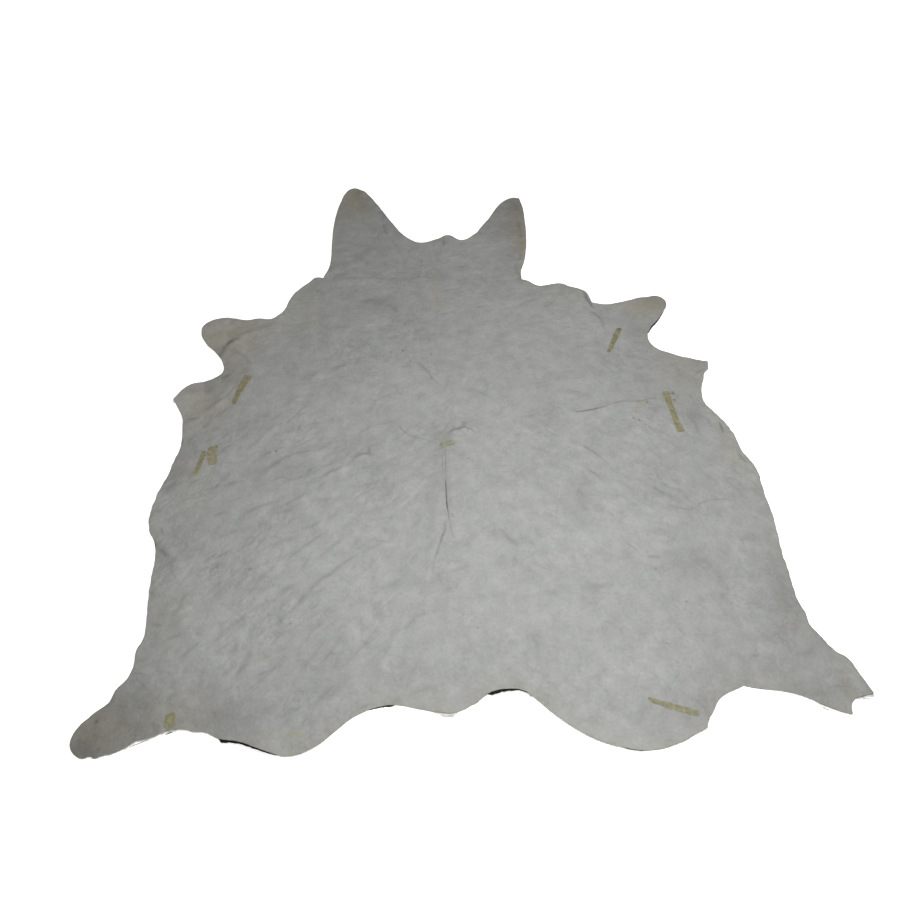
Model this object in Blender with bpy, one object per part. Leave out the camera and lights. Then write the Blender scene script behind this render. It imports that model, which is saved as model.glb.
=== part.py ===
"""A cowhide with its hair left on, lying flesh side up on a flat surface, with strips of repair tape.

The tables are in centimetres from the middle of the hide: across runs to the right, and along runs
from the tail to the neck. Everything else is in metres, with +Z up and the surface at zero.
"""

from collections import namedtuple
from math import ceil, cos, dist, floor, pi, radians, sin, sqrt

import bmesh
import bpy
from mathutils import Vector
from mathutils.geometry import delaunay_2d_cdt

CM = 0.01

# The hide's thickness, and the hair that reaches past its cut edge.
SKIN = 0.0025
PILE = 0.0045
HAIR_PAST_EDGE = 0.008
HAIR_OUTWARD = 0.35

# The repair tape.
TAPE_THICKNESS = 0.0006
TAPE_GAP = 0.0003

# The mesh: points along the edge, along the folds and in the open net, and how close they may come.
EDGE_STEPS = 3
FOLD_STEP = 0.035
NET_STEP = 0.055
CLOSE_TO_EDGE = 0.018
CLOSE_TO_FOLD = 0.009
CLOSE_TO_TAPE = 0.012
CLOSE_IN_NET = 0.033
SAME_POINT = 1e-6

# A fold's left side, seen from its first end, is this much narrower than its right side.
STEEP_SIDE = 0.6

SOFT, CORNER = "AUTO", "VECTOR"
Mark = namedtuple("Mark", "across along turn", defaults=(SOFT,))
Fold = namedtuple("Fold", "name across along to_across to_along bow rise reach")
Swell = namedtuple("Swell", "name across along reach rise")
Ripple = namedtuple("Ripple", "name heading length rise")
Tape = namedtuple("Tape", "name across along to_across to_along width to_width")

# Where the cut edge turns, clockwise from the left side of the neck.
LEFT_NECK = (
    Mark(-44.2, 67.5), Mark(-43.5, 73.0), Mark(-43.4, 80.0), Mark(-43.0, 92.0),
    Mark(-42.0, 100.0), Mark(-40.2, 107.4), Mark(-38.6, 111.0), Mark(-37.2, 112.7),
    Mark(-34.7, 113.6), Mark(-32.0, 112.4), Mark(-30.0, 110.5), Mark(-25.9, 103.6),
    Mark(-20.3, 92.9), Mark(-15.2, 84.2),
)
NECK_EDGE = (
    Mark(-12.4, 81.3), Mark(-8.5, 79.5), Mark(-2.5, 81.0), Mark(2.0, 83.1), Mark(7.5, 80.0),
    Mark(12.4, 82.9),
)
RIGHT_NECK = (
    Mark(15.8, 87.6), Mark(19.4, 92.6), Mark(24.8, 100.7), Mark(29.5, 103.4),
    Mark(32.0, 102.8, CORNER), Mark(32.7, 97.0), Mark(32.8, 89.5), Mark(32.4, 78.5),
    Mark(31.2, 70.0), Mark(30.3, 66.0), Mark(28.5, 60.5), Mark(28.4, 58.0),
    Mark(28.3, 56.5, CORNER),
)
RIGHT_SHOULDER = (
    Mark(30.4, 55.5), Mark(33.9, 52.7), Mark(36.6, 52.7), Mark(43.0, 53.4), Mark(45.7, 51.8),
    Mark(50.7, 49.2), Mark(51.9, 46.8), Mark(52.6, 42.6, CORNER),
)
RIGHT_FORELEG = (
    Mark(58.0, 41.6), Mark(66.5, 43.2), Mark(70.0, 44.1), Mark(73.3, 44.2), Mark(76.5, 44.2),
    Mark(78.9, 40.4), Mark(75.3, 33.1), Mark(70.9, 28.3), Mark(69.7, 24.8), Mark(71.0, 20.5),
    Mark(76.5, 16.9), Mark(84.5, 13.0), Mark(87.5, 11.6, CORNER), Mark(87.0, 8.5, CORNER),
)
RIGHT_FLANK = (
    Mark(85.4, 7.1), Mark(84.5, 4.5), Mark(83.3, 1.5), Mark(82.7, -1.5), Mark(82.7, -4.6),
    Mark(85.4, -9.7), Mark(87.5, -14.1), Mark(89.2, -19.0), Mark(90.0, -24.5),
    Mark(92.0, -29.0), Mark(93.0, -33.0), Mark(92.8, -38.0), Mark(92.8, -52.5),
    Mark(92.4, -60.5), Mark(92.6, -66.0), Mark(92.5, -75.0), Mark(93.3, -78.0),
)
RIGHT_HIND_LEG = (
    Mark(94.0, -83.0), Mark(96.0, -86.5), Mark(97.9, -90.0), Mark(100.8, -92.5),
    Mark(102.1, -95.9), Mark(103.0, -98.8), Mark(104.2, -102.4, CORNER), Mark(101.2, -102.8),
    Mark(98.9, -103.5), Mark(97.5, -105.2), Mark(97.3, -107.2, CORNER), Mark(94.3, -106.0),
    Mark(91.2, -104.5), Mark(87.6, -102.5), Mark(83.2, -100.7), Mark(77.6, -99.5),
    Mark(74.1, -98.9), Mark(71.3, -98.1, CORNER),
)
RIGHT_REAR_LOBE = (
    Mark(69.0, -99.0), Mark(66.0, -100.1), Mark(63.9, -101.7), Mark(62.3, -103.9),
    Mark(61.5, -105.0), Mark(60.2, -106.3), Mark(59.5, -108.4, CORNER), Mark(57.0, -109.4),
    Mark(51.3, -111.8), Mark(43.5, -113.2), Mark(37.5, -112.3), Mark(31.4, -110.2),
    Mark(25.5, -106.6), Mark(21.0, -103.0), Mark(16.4, -98.8), Mark(13.5, -96.4),
)
TAIL_ROOT = (
    Mark(10.0, -95.8), Mark(4.5, -96.5), Mark(0.5, -99.0), Mark(-5.0, -101.0),
    Mark(-7.0, -101.0), Mark(-11.5, -100.1), Mark(-16.0, -99.0),
)
LEFT_REAR_LOBE = (
    Mark(-20.0, -98.1), Mark(-25.0, -98.4), Mark(-28.5, -99.4), Mark(-31.9, -101.0),
    Mark(-36.0, -104.1), Mark(-41.5, -107.9), Mark(-48.0, -109.7), Mark(-52.5, -108.5),
    Mark(-56.4, -107.0), Mark(-60.5, -105.4), Mark(-66.0, -104.3),
)
LEFT_HIND_LEG = (
    Mark(-70.0, -102.4), Mark(-72.6, -102.2), Mark(-75.2, -101.5), Mark(-79.6, -101.5),
    Mark(-81.1, -102.2), Mark(-83.6, -103.1), Mark(-87.2, -103.6), Mark(-89.6, -105.1),
    Mark(-92.5, -106.4), Mark(-95.1, -106.8), Mark(-96.7, -107.3), Mark(-98.2, -107.0),
    Mark(-100.0, -107.4), Mark(-102.5, -106.3), Mark(-103.9, -104.0), Mark(-103.6, -101.0),
    Mark(-100.5, -96.9), Mark(-96.5, -93.3), Mark(-95.0, -90.0), Mark(-92.8, -87.4),
    Mark(-91.5, -82.0), Mark(-91.6, -79.0), Mark(-90.4, -76.8),
)
LEFT_FLANK = (
    Mark(-90.1, -72.0), Mark(-90.6, -66.0), Mark(-90.9, -58.5), Mark(-90.9, -51.0),
    Mark(-91.8, -46.7), Mark(-94.2, -41.6), Mark(-94.5, -37.0), Mark(-93.7, -31.0),
    Mark(-92.9, -27.2), Mark(-91.2, -22.0), Mark(-90.3, -17.3), Mark(-89.3, -13.0),
    Mark(-89.1, -9.0), Mark(-89.7, -3.0), Mark(-89.9, -1.0),
)
LEFT_FORELEG = (
    Mark(-93.2, 5.9), Mark(-93.8, 7.2, CORNER), Mark(-89.4, 13.9), Mark(-85.5, 15.0),
    Mark(-81.8, 16.4), Mark(-79.0, 18.8), Mark(-79.4, 23.0), Mark(-82.6, 28.1),
    Mark(-86.5, 32.3), Mark(-88.0, 36.0), Mark(-87.4, 39.7), Mark(-83.6, 42.7),
    Mark(-77.6, 43.8), Mark(-74.8, 43.2), Mark(-72.4, 42.8), Mark(-69.0, 43.5),
    Mark(-64.0, 43.1), Mark(-61.7, 44.7),
)
LEFT_SHOULDER = (
    Mark(-59.7, 46.9), Mark(-57.8, 52.1), Mark(-55.0, 56.7), Mark(-50.5, 61.3),
    Mark(-49.0, 62.9), Mark(-47.7, 63.1), Mark(-46.0, 62.6, CORNER),
)
CUT_EDGE = (
    LEFT_NECK + NECK_EDGE + RIGHT_NECK + RIGHT_SHOULDER + RIGHT_FORELEG + RIGHT_FLANK
    + RIGHT_HIND_LEG + RIGHT_REAR_LOBE + TAIL_ROOT + LEFT_REAR_LOBE + LEFT_HIND_LEG
    + LEFT_FLANK + LEFT_FORELEG + LEFT_SHOULDER
)

# Ridges that stand up from the surface: a crest from one end to the other, bowed to its left.
FOLDS = (
    Fold("spine, right lip", -2.6, -19.0, -1.6, -52.0, 0.0, 0.36, 2.6),
    Fold("spine, left lip", -5.8, -19.0, -11.5, -66.0, 1.4, 0.4, 2.6),
    Fold("spine, rump", 0.0, -71.0, -1.5, -94.0, 0.6, 0.2, 3.5),
    Fold("withers", -12.0, 19.0, -2.5, 3.0, 1.0, 0.32, 3.0),
    Fold("back, left arc", -31.0, -10.5, -8.5, -14.0, 4.5, 0.32, 3.2),
    Fold("back, right arc", -2.0, -12.5, 9.5, -12.5, 2.6, 0.36, 2.6),
    Fold("shoulder arc", 0.0, 6.0, 18.0, -4.5, 2.0, 0.24, 3.5),
    Fold("right crease", 35.0, -7.5, 68.0, -2.0, 0.4, 0.36, 3.4),
    Fold("right rib, upper", 27.0, -13.5, 47.0, -29.0, 1.6, 0.28, 3.6),
    Fold("right rib, lower", 37.0, -28.0, 52.0, -36.0, -0.8, 0.24, 3.4),
    Fold("right flank hook", 60.0, -26.0, 71.0, -37.5, -2.5, 0.24, 3.4),
    Fold("right flank line", 61.0, -43.5, 87.0, -43.0, 1.0, 0.28, 3.2),
    Fold("right loin", 9.0, -46.0, 25.0, -57.5, -2.2, 0.36, 3.8),
    Fold("right thigh", 44.0, -46.0, 60.0, -60.5, -2.5, 0.28, 3.6),
    Fold("right stifle", 74.0, -66.0, 89.0, -60.0, 0.8, 0.24, 3.4),
    Fold("right hock", 70.0, -91.5, 94.0, -89.5, 0.9, 0.32, 3.4),
    Fold("left long rib, rear", -64.0, -80.5, -37.0, -58.5, 1.0, 0.44, 3.8),
    Fold("left long rib, front", -40.0, -60.0, -13.0, -49.0, 1.5, 0.36, 3.6),
    Fold("left rib, second", -65.0, -61.5, -34.0, -47.0, 1.2, 0.32, 3.8),
    Fold("left rib, third", -61.0, -46.5, -35.0, -40.0, 1.2, 0.28, 3.6),
    Fold("left rib, fourth", -57.0, -41.5, -39.0, -28.0, 1.5, 0.24, 3.6),
    Fold("left rib, fifth", -63.0, -26.0, -38.0, -16.5, 3.0, 0.36, 3.8),
    Fold("left rib, sixth", -42.0, -38.5, -24.0, -32.0, 0.8, 0.2, 3.4),
    Fold("left rib, short", -36.0, -20.5, -23.5, -19.5, 1.0, 0.28, 3.0),
    Fold("left belly pleat", -91.5, -44.5, -82.0, -57.0, 0.6, 0.64, 3.4),
    Fold("left flank line", -90.0, -26.5, -69.0, -29.0, 1.2, 0.28, 3.2),
    Fold("left foreleg crease", -79.5, 28.5, -60.0, 39.0, 2.6, 0.48, 3.6),
    Fold("left foreleg, inner", -77.5, 29.0, -68.0, 19.0, 1.0, 0.32, 3.0),
    Fold("left elbow", -88.0, -0.5, -77.0, 11.0, -2.6, 0.4, 3.2),
    Fold("right shoulder, outer", 51.0, 44.0, 54.5, 28.0, 1.6, 0.44, 3.0),
    Fold("right shoulder, inner", 42.5, 39.5, 51.5, 29.5, -1.6, 0.28, 3.0),
    Fold("neck base", -42.0, 60.5, -8.0, 60.0, -1.0, 0.2, 3.2),
    Fold("left neck", -24.5, 98.0, -20.5, 82.0, 0.6, 0.28, 2.8),
    Fold("left rear edge", -54.0, -100.5, -24.0, -96.5, 1.2, 0.24, 3.2),
    Fold("left shoulder, low", -34.0, 1.0, -14.0, 8.0, 1.5, 0.2, 3.4),
    Fold("left shoulder, middle", -48.0, 26.5, -31.0, 31.5, 1.0, 0.2, 3.4),
    Fold("left shoulder, high", -52.0, 44.5, -38.0, 41.0, -1.0, 0.2, 3.2),
    Fold("left neck root", -33.0, 46.5, -18.0, 49.0, 1.0, 0.2, 3.2),
    Fold("right shoulder, low", 24.0, 5.5, 46.0, 6.5, 0.8, 0.2, 3.4),
    Fold("right shoulder, slant", 47.0, 20.5, 65.0, 5.0, -1.5, 0.24, 3.4),
    Fold("right neck root", 18.0, 43.5, 31.0, 46.5, 0.8, 0.16, 3.2),
)

# Places where the hide lies a little off the surface, most of them at its rim.
SWELLS = (
    Swell("left foreleg tip", -92.0, 42.0, 20.0, 2.4),
    Swell("left elbow tip", -96.0, 8.0, 13.0, 1.3),
    Swell("right foreleg tip", 80.0, 35.0, 15.0, 1.7),
    Swell("right elbow tip", 90.0, 10.0, 13.0, 1.0),
    Swell("left neck lobe", -35.0, 118.0, 18.0, 0.9),
    Swell("right neck lobe", 36.0, 92.0, 20.0, 1.1),
    Swell("right rear lobe", 44.0, -119.0, 22.0, 1.2),
    Swell("left rear lobe", -58.0, -111.0, 18.0, 1.2),
    Swell("tail notch", 9.0, -99.0, 14.0, 1.0),
    Swell("right hind tip", 104.0, -104.0, 13.0, 1.0),
    Swell("left hind tip", -105.0, -106.0, 16.0, 0.9),
    Swell("left belly", -98.0, -36.0, 13.0, 1.0),
    Swell("right belly", 97.0, -52.0, 14.0, 0.8),
    Swell("left shoulder", -36.0, 42.0, 26.0, 0.5),
    Swell("right shoulder", 26.0, 34.0, 24.0, 0.4),
    Swell("left ribs", -46.0, -34.0, 34.0, 0.5),
    Swell("right ribs", 54.0, -44.0, 30.0, 0.4),
    Swell("loin", 4.0, -62.0, 22.0, 0.4),
)

# Long low waves of the upper side, where the hair under it is pressed down more or less. A heading
# is in degrees from straight across, towards the neck.
RIPPLES = (
    Ripple("along the left ribs", 124.0, 23.0, 0.10),
    Ripple("along the right ribs", 52.0, 29.0, 0.10),
    Ripple("shoulders to rump", 82.0, 41.0, 0.12),
    Ripple("belly to belly", 12.0, 35.0, 0.08),
)

# Strips of tape, from the middle of one end to the middle of the other.
TAPES = (
    Tape("tape_shoulder_left", -69.9, 16.3, -73.9, 4.8, 2.9, 1.6),
    Tape("tape_flank_left_short", -79.0, -12.2, -77.9, -19.6, 3.3, 1.9),
    Tape("tape_flank_left_long", -81.35, -13.5, -82.7, -22.9, 1.8, 1.3),
    Tape("tape_shoulder_right", 60.6, 30.0, 54.7, 18.7, 2.0, 1.1),
    Tape("tape_flank_right", 70.8, 0.0, 72.4, -16.3, 2.3, 2.2),
    Tape("tape_back", -5.3, -16.5, -0.7, -15.6, 2.3, 2.0),
    Tape("tape_rump_right", 45.6, -100.3, 58.1, -104.8, 1.0, 1.5),
    Tape("tape_hind_left", -79.4, -97.0, -78.9, -100.6, 2.5, 2.8),
)


def clear_scene():
    for obj in list(bpy.data.objects):
        bpy.data.objects.remove(obj)


def new_collection(name):
    collection = bpy.data.collections.new(name)
    bpy.context.scene.collection.children.link(collection)
    return collection


def new_material(name, color, roughness):
    material = bpy.data.materials.new(name)
    material.use_nodes = True
    shader = material.node_tree.nodes["Principled BSDF"]
    shader.inputs["Base Color"].default_value = (*color, 1.0)
    shader.inputs["Roughness"].default_value = roughness
    shader.inputs["Metallic"].default_value = 0.0
    return material


def bell(part):
    """1 at the middle, 0 from the rim outwards, level at both."""
    return cos(min(part, 1.0) * pi / 2) ** 2


def ends_of(row):
    start = Vector((row.across, row.along)) * CM
    end = Vector((row.to_across, row.to_along)) * CM
    return start, end


def left_of(direction):
    return Vector((-direction.y, direction.x))


def crest_at(fold, t):
    """The point of a fold's crest a share t of the way along it."""
    start, end = ends_of(fold)
    along = (end - start).normalized()
    return start.lerp(end, t) + left_of(along) * fold.bow * CM * 4 * t * (1 - t)


def fold_rise(fold, point):
    start, end = ends_of(fold)
    run = end - start
    t = (point - start).dot(run) / run.length_squared
    if not 0 < t < 1:
        return 0.0
    aside = left_of(run.normalized()).dot(point - crest_at(fold, t))
    reach = fold.reach * CM * (STEEP_SIDE if aside > 0 else 1.0)
    return fold.rise * CM * bell(abs(aside) / reach) * sqrt(sin(pi * t))


def swell_rise(swell, point):
    far = (point - Vector((swell.across, swell.along)) * CM).length
    return swell.rise * CM * bell(far / (swell.reach * CM))


def lift_at(point):
    """How high the hide's underside lies over the surface."""
    folded = max(fold_rise(fold, point) for fold in FOLDS)
    return folded + sum(swell_rise(swell, point) for swell in SWELLS)


def ripple_at(point):
    """How far the waves raise the hide's upper side, or lower it."""
    total = 0.0
    for wave in RIPPLES:
        heading = radians(wave.heading)
        along = point.x * cos(heading) + point.y * sin(heading)
        total += wave.rise * CM * sin(2 * pi * along / (wave.length * CM))
    return total


def underside_at(point):
    return Vector((*point, lift_at(point)))


def upper_side_at(point):
    return Vector((*point, lift_at(point) + SKIN + PILE + ripple_at(point)))


def edge_points():
    """The cut edge as a smooth closed line through its marks."""
    curve = bpy.data.curves.new("cut_edge", "CURVE")
    curve.dimensions = "2D"
    curve.fill_mode = "NONE"
    curve.resolution_u = EDGE_STEPS
    spline = curve.splines.new("BEZIER")
    spline.bezier_points.add(len(CUT_EDGE) - 1)
    spline.use_cyclic_u = True
    for point, mark in zip(spline.bezier_points, CUT_EDGE):
        point.co = (mark.across * CM, mark.along * CM, 0.0)
        point.handle_left_type = mark.turn
        point.handle_right_type = mark.turn
    guide = bpy.data.objects.new("cut_edge", curve)
    bpy.context.scene.collection.objects.link(guide)
    graph = bpy.context.evaluated_depsgraph_get()
    line = bpy.data.meshes.new_from_object(guide.evaluated_get(graph))
    points = [vertex.co.to_2d() for vertex in line.vertices]
    bpy.data.objects.remove(guide)
    bpy.data.meshes.remove(line)
    return points


def tape_corners(tape):
    start, end = ends_of(tape)
    aside = left_of((end - start).normalized()) * CM / 2
    return [
        start + aside * tape.width,
        start - aside * tape.width,
        end - aside * tape.to_width,
        end + aside * tape.to_width,
    ]


def fold_rows(fold):
    """Rows of points along a fold: its crest first, then both flanks and both feet."""
    start, end = ends_of(fold)
    steps = max(2, round((end - start).length / FOLD_STEP))
    aside = left_of((end - start).normalized()) * fold.reach * CM
    crest = [crest_at(fold, step / steps) for step in range(steps + 1)]
    yield crest
    for share in (STEEP_SIDE / 2, -0.5, STEEP_SIDE, -1.0):
        yield [point + aside * share for point in crest[1:-1]]


def net_points(low, high):
    """An even triangular net over the rectangle from low to high."""
    row_step = NET_STEP * sqrt(3) / 2
    for row in range(floor(low.y / row_step), ceil(high.y / row_step)):
        shift = NET_STEP / 2 * (row % 2)
        for column in range(floor(low.x / NET_STEP), ceil(high.x / NET_STEP)):
            yield Vector((column * NET_STEP + shift, row * row_step))


class Layout:
    """The points and lines that the hide's mesh has to go through."""

    def __init__(self):
        self.points = []
        self.lines = []
        self.outlines = []
        self.cells = {}

    def cell(self, point):
        return floor(point.x / NET_STEP), floor(point.y / NET_STEP)

    def add(self, point):
        self.cells.setdefault(self.cell(point), []).append(point)
        self.points.append(point)
        return len(self.points) - 1

    def is_clear(self, point, gap):
        column, row = self.cell(point)
        near = (
            other
            for dx in (-1, 0, 1)
            for dy in (-1, 0, 1)
            for other in self.cells.get((column + dx, row + dy), ())
        )
        return all((other - point).length >= gap for other in near)

    def add_outline(self, points):
        self.outlines.append([self.add(point) for point in points])

    def add_row(self, points, gap, joined):
        placed = [self.add(point) for point in points if self.is_clear(point, gap)]
        if joined:
            self.lines.extend(zip(placed, placed[1:]))


def is_inside(point, outline):
    """Whether a ray to the right of the point crosses the outline an odd number of times."""
    inside = False
    for a, b in zip(outline, outline[1:] + outline[:1]):
        if (a.y > point.y) != (b.y > point.y):
            if point.x < a.x + (point.y - a.y) * (b.x - a.x) / (b.y - a.y):
                inside = not inside
    return inside


def edge_gap(point, outline):
    return min(dist(point, other) for other in outline)


def hide_layout():
    outline = edge_points()

    def kept(points):
        return [p for p in points if is_inside(p, outline) and edge_gap(p, outline) > CLOSE_TO_EDGE]

    layout = Layout()
    layout.add_outline(outline)
    for tape in TAPES:
        layout.add_outline(tape_corners(tape))
    rows = [list(fold_rows(fold)) for fold in FOLDS]
    for crest, *_ in rows:
        layout.add_row(kept(crest), CLOSE_TO_TAPE, True)
    for _, *flanks in rows:
        for flank in flanks:
            layout.add_row(kept(flank), CLOSE_TO_FOLD, False)
    low = Vector((min(p.x for p in outline), min(p.y for p in outline)))
    high = Vector((max(p.x for p in outline), max(p.y for p in outline)))
    layout.add_row(kept(net_points(low, high)), CLOSE_IN_NET, False)
    return layout


def triangulate(layout):
    """The hide's points and triangles, and for each triangle the outlines that it lies in."""
    points, _, triangles, _, _, inside = delaunay_2d_cdt(
        layout.points, layout.lines, layout.outlines, 1, SAME_POINT
    )
    return points, triangles, inside


def sheet_mesh(points, triangles, side_at):
    """The triangles as an open sheet, each of its points where side_at puts it."""
    mesh = bmesh.new()
    used = sorted({index for triangle in triangles for index in triangle})
    corners = {index: mesh.verts.new(side_at(points[index])) for index in used}
    for triangle in triangles:
        mesh.faces.new([corners[index] for index in triangle])
    return mesh


def close_with_copy(mesh, copy_at):
    """Makes the sheet a solid: a copy of each of its points goes where copy_at puts it."""
    copied = bmesh.ops.extrude_face_region(mesh, geom=mesh.faces[:])["geom"]
    for item in copied:
        if isinstance(item, bmesh.types.BMVert):
            item.co = copy_at(item.co)
    bmesh.ops.recalc_face_normals(mesh, faces=mesh.faces[:])


def hair_reach(vertex):
    """How far the hair under this point of the rim lies past the cut edge: most where it faces the tail."""
    outward = Vector((0.0, 0.0))
    for edge in vertex.link_edges:
        if edge.is_boundary:
            middle = (edge.verts[0].co + edge.verts[1].co) / 2
            aside = (middle - edge.link_faces[0].calc_center_median()).to_2d()
            along = (edge.verts[0].co - edge.verts[1].co).to_2d().normalized()
            outward += (aside - along * aside.dot(along)).normalized()
    outward.normalize()
    side = 1.0 if vertex.co.x > 0 else -1.0
    hair = Vector((side * HAIR_OUTWARD, -1.0)).normalized()
    return hair * HAIR_PAST_EDGE * max(0.0, outward.dot(hair))


def new_object(name, mesh, material, collection):
    data = bpy.data.meshes.new(name)
    mesh.to_mesh(data)
    mesh.free()
    data.materials.append(material)
    data.shade_smooth()
    obj = bpy.data.objects.new(name, data)
    collection.objects.link(obj)
    return obj


def make_hide(points, triangles, material, collection):
    mesh = sheet_mesh(points, triangles, underside_at)
    reach = {vertex: hair_reach(vertex) for vertex in mesh.verts if vertex.is_boundary}
    close_with_copy(mesh, lambda place: upper_side_at(place.to_2d()))
    for vertex, past_edge in reach.items():
        vertex.co += past_edge.to_3d()
    return new_object("hide", mesh, material, collection)


def make_tape(tape, points, triangles, material, collection):
    gap = Vector((0.0, 0.0, TAPE_GAP))
    thickness = Vector((0.0, 0.0, TAPE_THICKNESS))
    mesh = sheet_mesh(points, triangles, lambda point: upper_side_at(point) + gap)
    close_with_copy(mesh, lambda place: place + thickness)
    return new_object(tape.name, mesh, material, collection)


def main():
    clear_scene()
    collection = new_collection("leather_hide")
    suede = new_material("suede", (0.34, 0.34, 0.32), 0.95)
    tape_cloth = new_material("tape_cloth", (0.30, 0.28, 0.17), 0.8)
    points, triangles, inside = triangulate(hide_layout())
    make_hide(points, triangles, suede, collection)
    for number, tape in enumerate(TAPES, start=1):
        patch = [triangle for triangle, outlines in zip(triangles, inside) if number in outlines]
        make_tape(tape, points, patch, tape_cloth, collection)


main()
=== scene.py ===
"""Dresses a cowhide that lies flesh side up: its skin, the hair under it, its tapes and a studio.

The tables are in centimetres from the middle of the hide: across runs to the right, and along runs
from the tail to the neck. Everything else is in metres, with +Z up and the surface at zero.
"""

from collections import namedtuple
from math import ceil, cos, floor, pi, radians, sin, sqrt, tan

import bpy
import numpy as np
from bpy.props import FloatProperty, FloatVectorProperty, IntProperty, PointerProperty
from bpy.types import Operator, Panel, PropertyGroup
from mathutils import Matrix, Vector, noise
from mathutils.bvhtree import BVHTree
from mathutils.geometry import delaunay_2d_cdt
from mathutils.kdtree import KDTree


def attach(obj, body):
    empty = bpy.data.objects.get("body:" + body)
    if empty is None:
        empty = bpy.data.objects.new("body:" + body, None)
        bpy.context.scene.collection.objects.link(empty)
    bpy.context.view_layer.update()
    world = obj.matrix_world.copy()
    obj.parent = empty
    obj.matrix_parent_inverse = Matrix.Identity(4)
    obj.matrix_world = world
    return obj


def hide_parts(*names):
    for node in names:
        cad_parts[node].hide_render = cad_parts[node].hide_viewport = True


bl_info = {
    "name": "Leather hide",
    "version": (1, 0, 0),
    "blender": (4, 5, 0),
    "location": "3D View > Sidebar > Hide",
    "description": "Adds a cowhide with its hair on, lying flesh side up, and a studio for it",
    "category": "Add Mesh",
}

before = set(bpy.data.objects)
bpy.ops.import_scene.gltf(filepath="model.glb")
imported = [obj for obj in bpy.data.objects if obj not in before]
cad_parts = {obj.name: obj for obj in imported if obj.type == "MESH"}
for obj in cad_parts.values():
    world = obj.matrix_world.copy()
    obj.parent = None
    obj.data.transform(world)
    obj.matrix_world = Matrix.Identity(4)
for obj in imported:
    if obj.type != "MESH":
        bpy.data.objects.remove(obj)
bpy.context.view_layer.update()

CM = 0.01
MM = 0.001

SOFT, CORNER = "AUTO", "VECTOR"
Mark = namedtuple("Mark", "across along turn", defaults=(SOFT,))
Fold = namedtuple("Fold", "name across along to_across to_along bow rise reach")
Swell = namedtuple("Swell", "name across along reach rise")
Ripple = namedtuple("Ripple", "name heading length rise")
Tape = namedtuple("Tape", "name across along to_across to_along width to_width bow waist tone faded")
Crease = namedtuple("Crease", "name width depth dark marks")
Groove = namedtuple("Groove", "width depth dark line")
Stain = namedtuple("Stain", "name across along reach dark glue")
Blotch = namedtuple("Blotch", "name across along reach_across reach_along tone warm")
Fringe = namedtuple("Fringe", "name across along to_across to_along reach to_reach black")
Patch = namedtuple("Patch", "name across along reach_across reach_along")
Grain = namedtuple("Grain", "name heading long short rise puff grooves")
Wisp = namedtuple("Wisp", "name width marks")
Stray = namedtuple("Stray", "size seed reach")

# Where the cut edge turns, clockwise from the left side of the neck: across, along, and CORNER where
# it is sharp.
LEFT_NECK = (
    (-44.2, 67.5), (-43.5, 73.0), (-43.4, 80.0), (-43.0, 92.0), (-42.0, 100.0), (-40.2, 107.4),
    (-38.6, 111.0), (-37.2, 112.7), (-34.7, 113.6), (-32.0, 112.4), (-30.0, 110.5), (-25.9, 103.6),
    (-20.3, 92.9), (-15.2, 84.2),
)
NECK_EDGE = (
    (-12.4, 81.3), (-8.5, 79.5), (-2.5, 81.0), (2.0, 83.1), (7.5, 80.0), (12.4, 82.9),
)
RIGHT_NECK = (
    (15.8, 87.6), (19.4, 92.6), (24.8, 100.7), (29.5, 103.4), (32.0, 102.8, CORNER), (32.7, 97.0),
    (32.8, 89.5), (32.4, 78.5), (31.2, 70.0), (30.3, 66.0), (28.5, 60.5), (28.4, 58.0),
    (28.3, 56.5, CORNER),
)
RIGHT_SHOULDER = (
    (30.4, 55.5), (33.9, 52.7), (36.6, 52.7), (43.0, 53.4), (45.7, 51.8), (50.7, 49.2),
    (51.9, 46.8), (52.6, 42.6, CORNER),
)
RIGHT_FORELEG = (
    (58.0, 41.6), (66.5, 43.2), (70.0, 44.1), (73.3, 44.2), (76.5, 44.2), (78.9, 40.4),
    (75.3, 33.1), (70.9, 28.3), (69.7, 24.8), (71.0, 20.5), (76.5, 16.9), (84.5, 13.0),
    (87.5, 11.6, CORNER), (87.0, 8.5, CORNER),
)
RIGHT_FLANK = (
    (85.4, 7.1), (84.5, 4.5), (83.3, 1.5), (82.7, -1.5), (82.7, -4.6), (85.4, -9.7), (87.5, -14.1),
    (89.2, -19.0), (90.0, -24.5), (92.0, -29.0), (93.0, -33.0), (92.8, -38.0), (92.8, -52.5),
    (92.4, -60.5), (92.6, -66.0), (92.5, -75.0), (93.3, -78.0),
)
RIGHT_HIND_LEG = (
    (94.0, -83.0), (96.0, -86.5), (97.9, -90.0), (100.8, -92.5), (102.1, -95.9), (103.0, -98.8),
    (104.2, -102.4, CORNER), (101.2, -102.8), (98.9, -103.5), (97.5, -105.2),
    (97.3, -107.2, CORNER), (94.3, -106.0), (91.2, -104.5), (87.6, -102.5), (83.2, -100.7),
    (77.6, -99.5), (74.1, -98.9), (71.3, -98.1, CORNER),
)
RIGHT_REAR_LOBE = (
    (69.0, -99.0), (66.0, -100.1), (63.9, -101.7), (62.3, -103.9), (61.5, -105.0), (60.2, -106.3),
    (59.5, -108.4, CORNER), (57.0, -109.4), (51.3, -111.8), (43.5, -113.2), (37.5, -112.3),
    (31.4, -110.2), (25.5, -106.6), (21.0, -103.0), (16.4, -98.8), (13.5, -96.4),
)
TAIL_ROOT = (
    (10.0, -95.8), (4.5, -96.5), (0.5, -99.0), (-5.0, -101.0), (-7.0, -101.0), (-11.5, -100.1),
    (-16.0, -99.0),
)
LEFT_REAR_LOBE = (
    (-20.0, -98.1), (-25.0, -98.4), (-28.5, -99.4), (-31.9, -101.0), (-36.0, -104.1),
    (-41.5, -107.9), (-48.0, -109.7), (-52.5, -108.5), (-56.4, -107.0), (-60.5, -105.4),
    (-66.0, -104.3),
)
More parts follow.
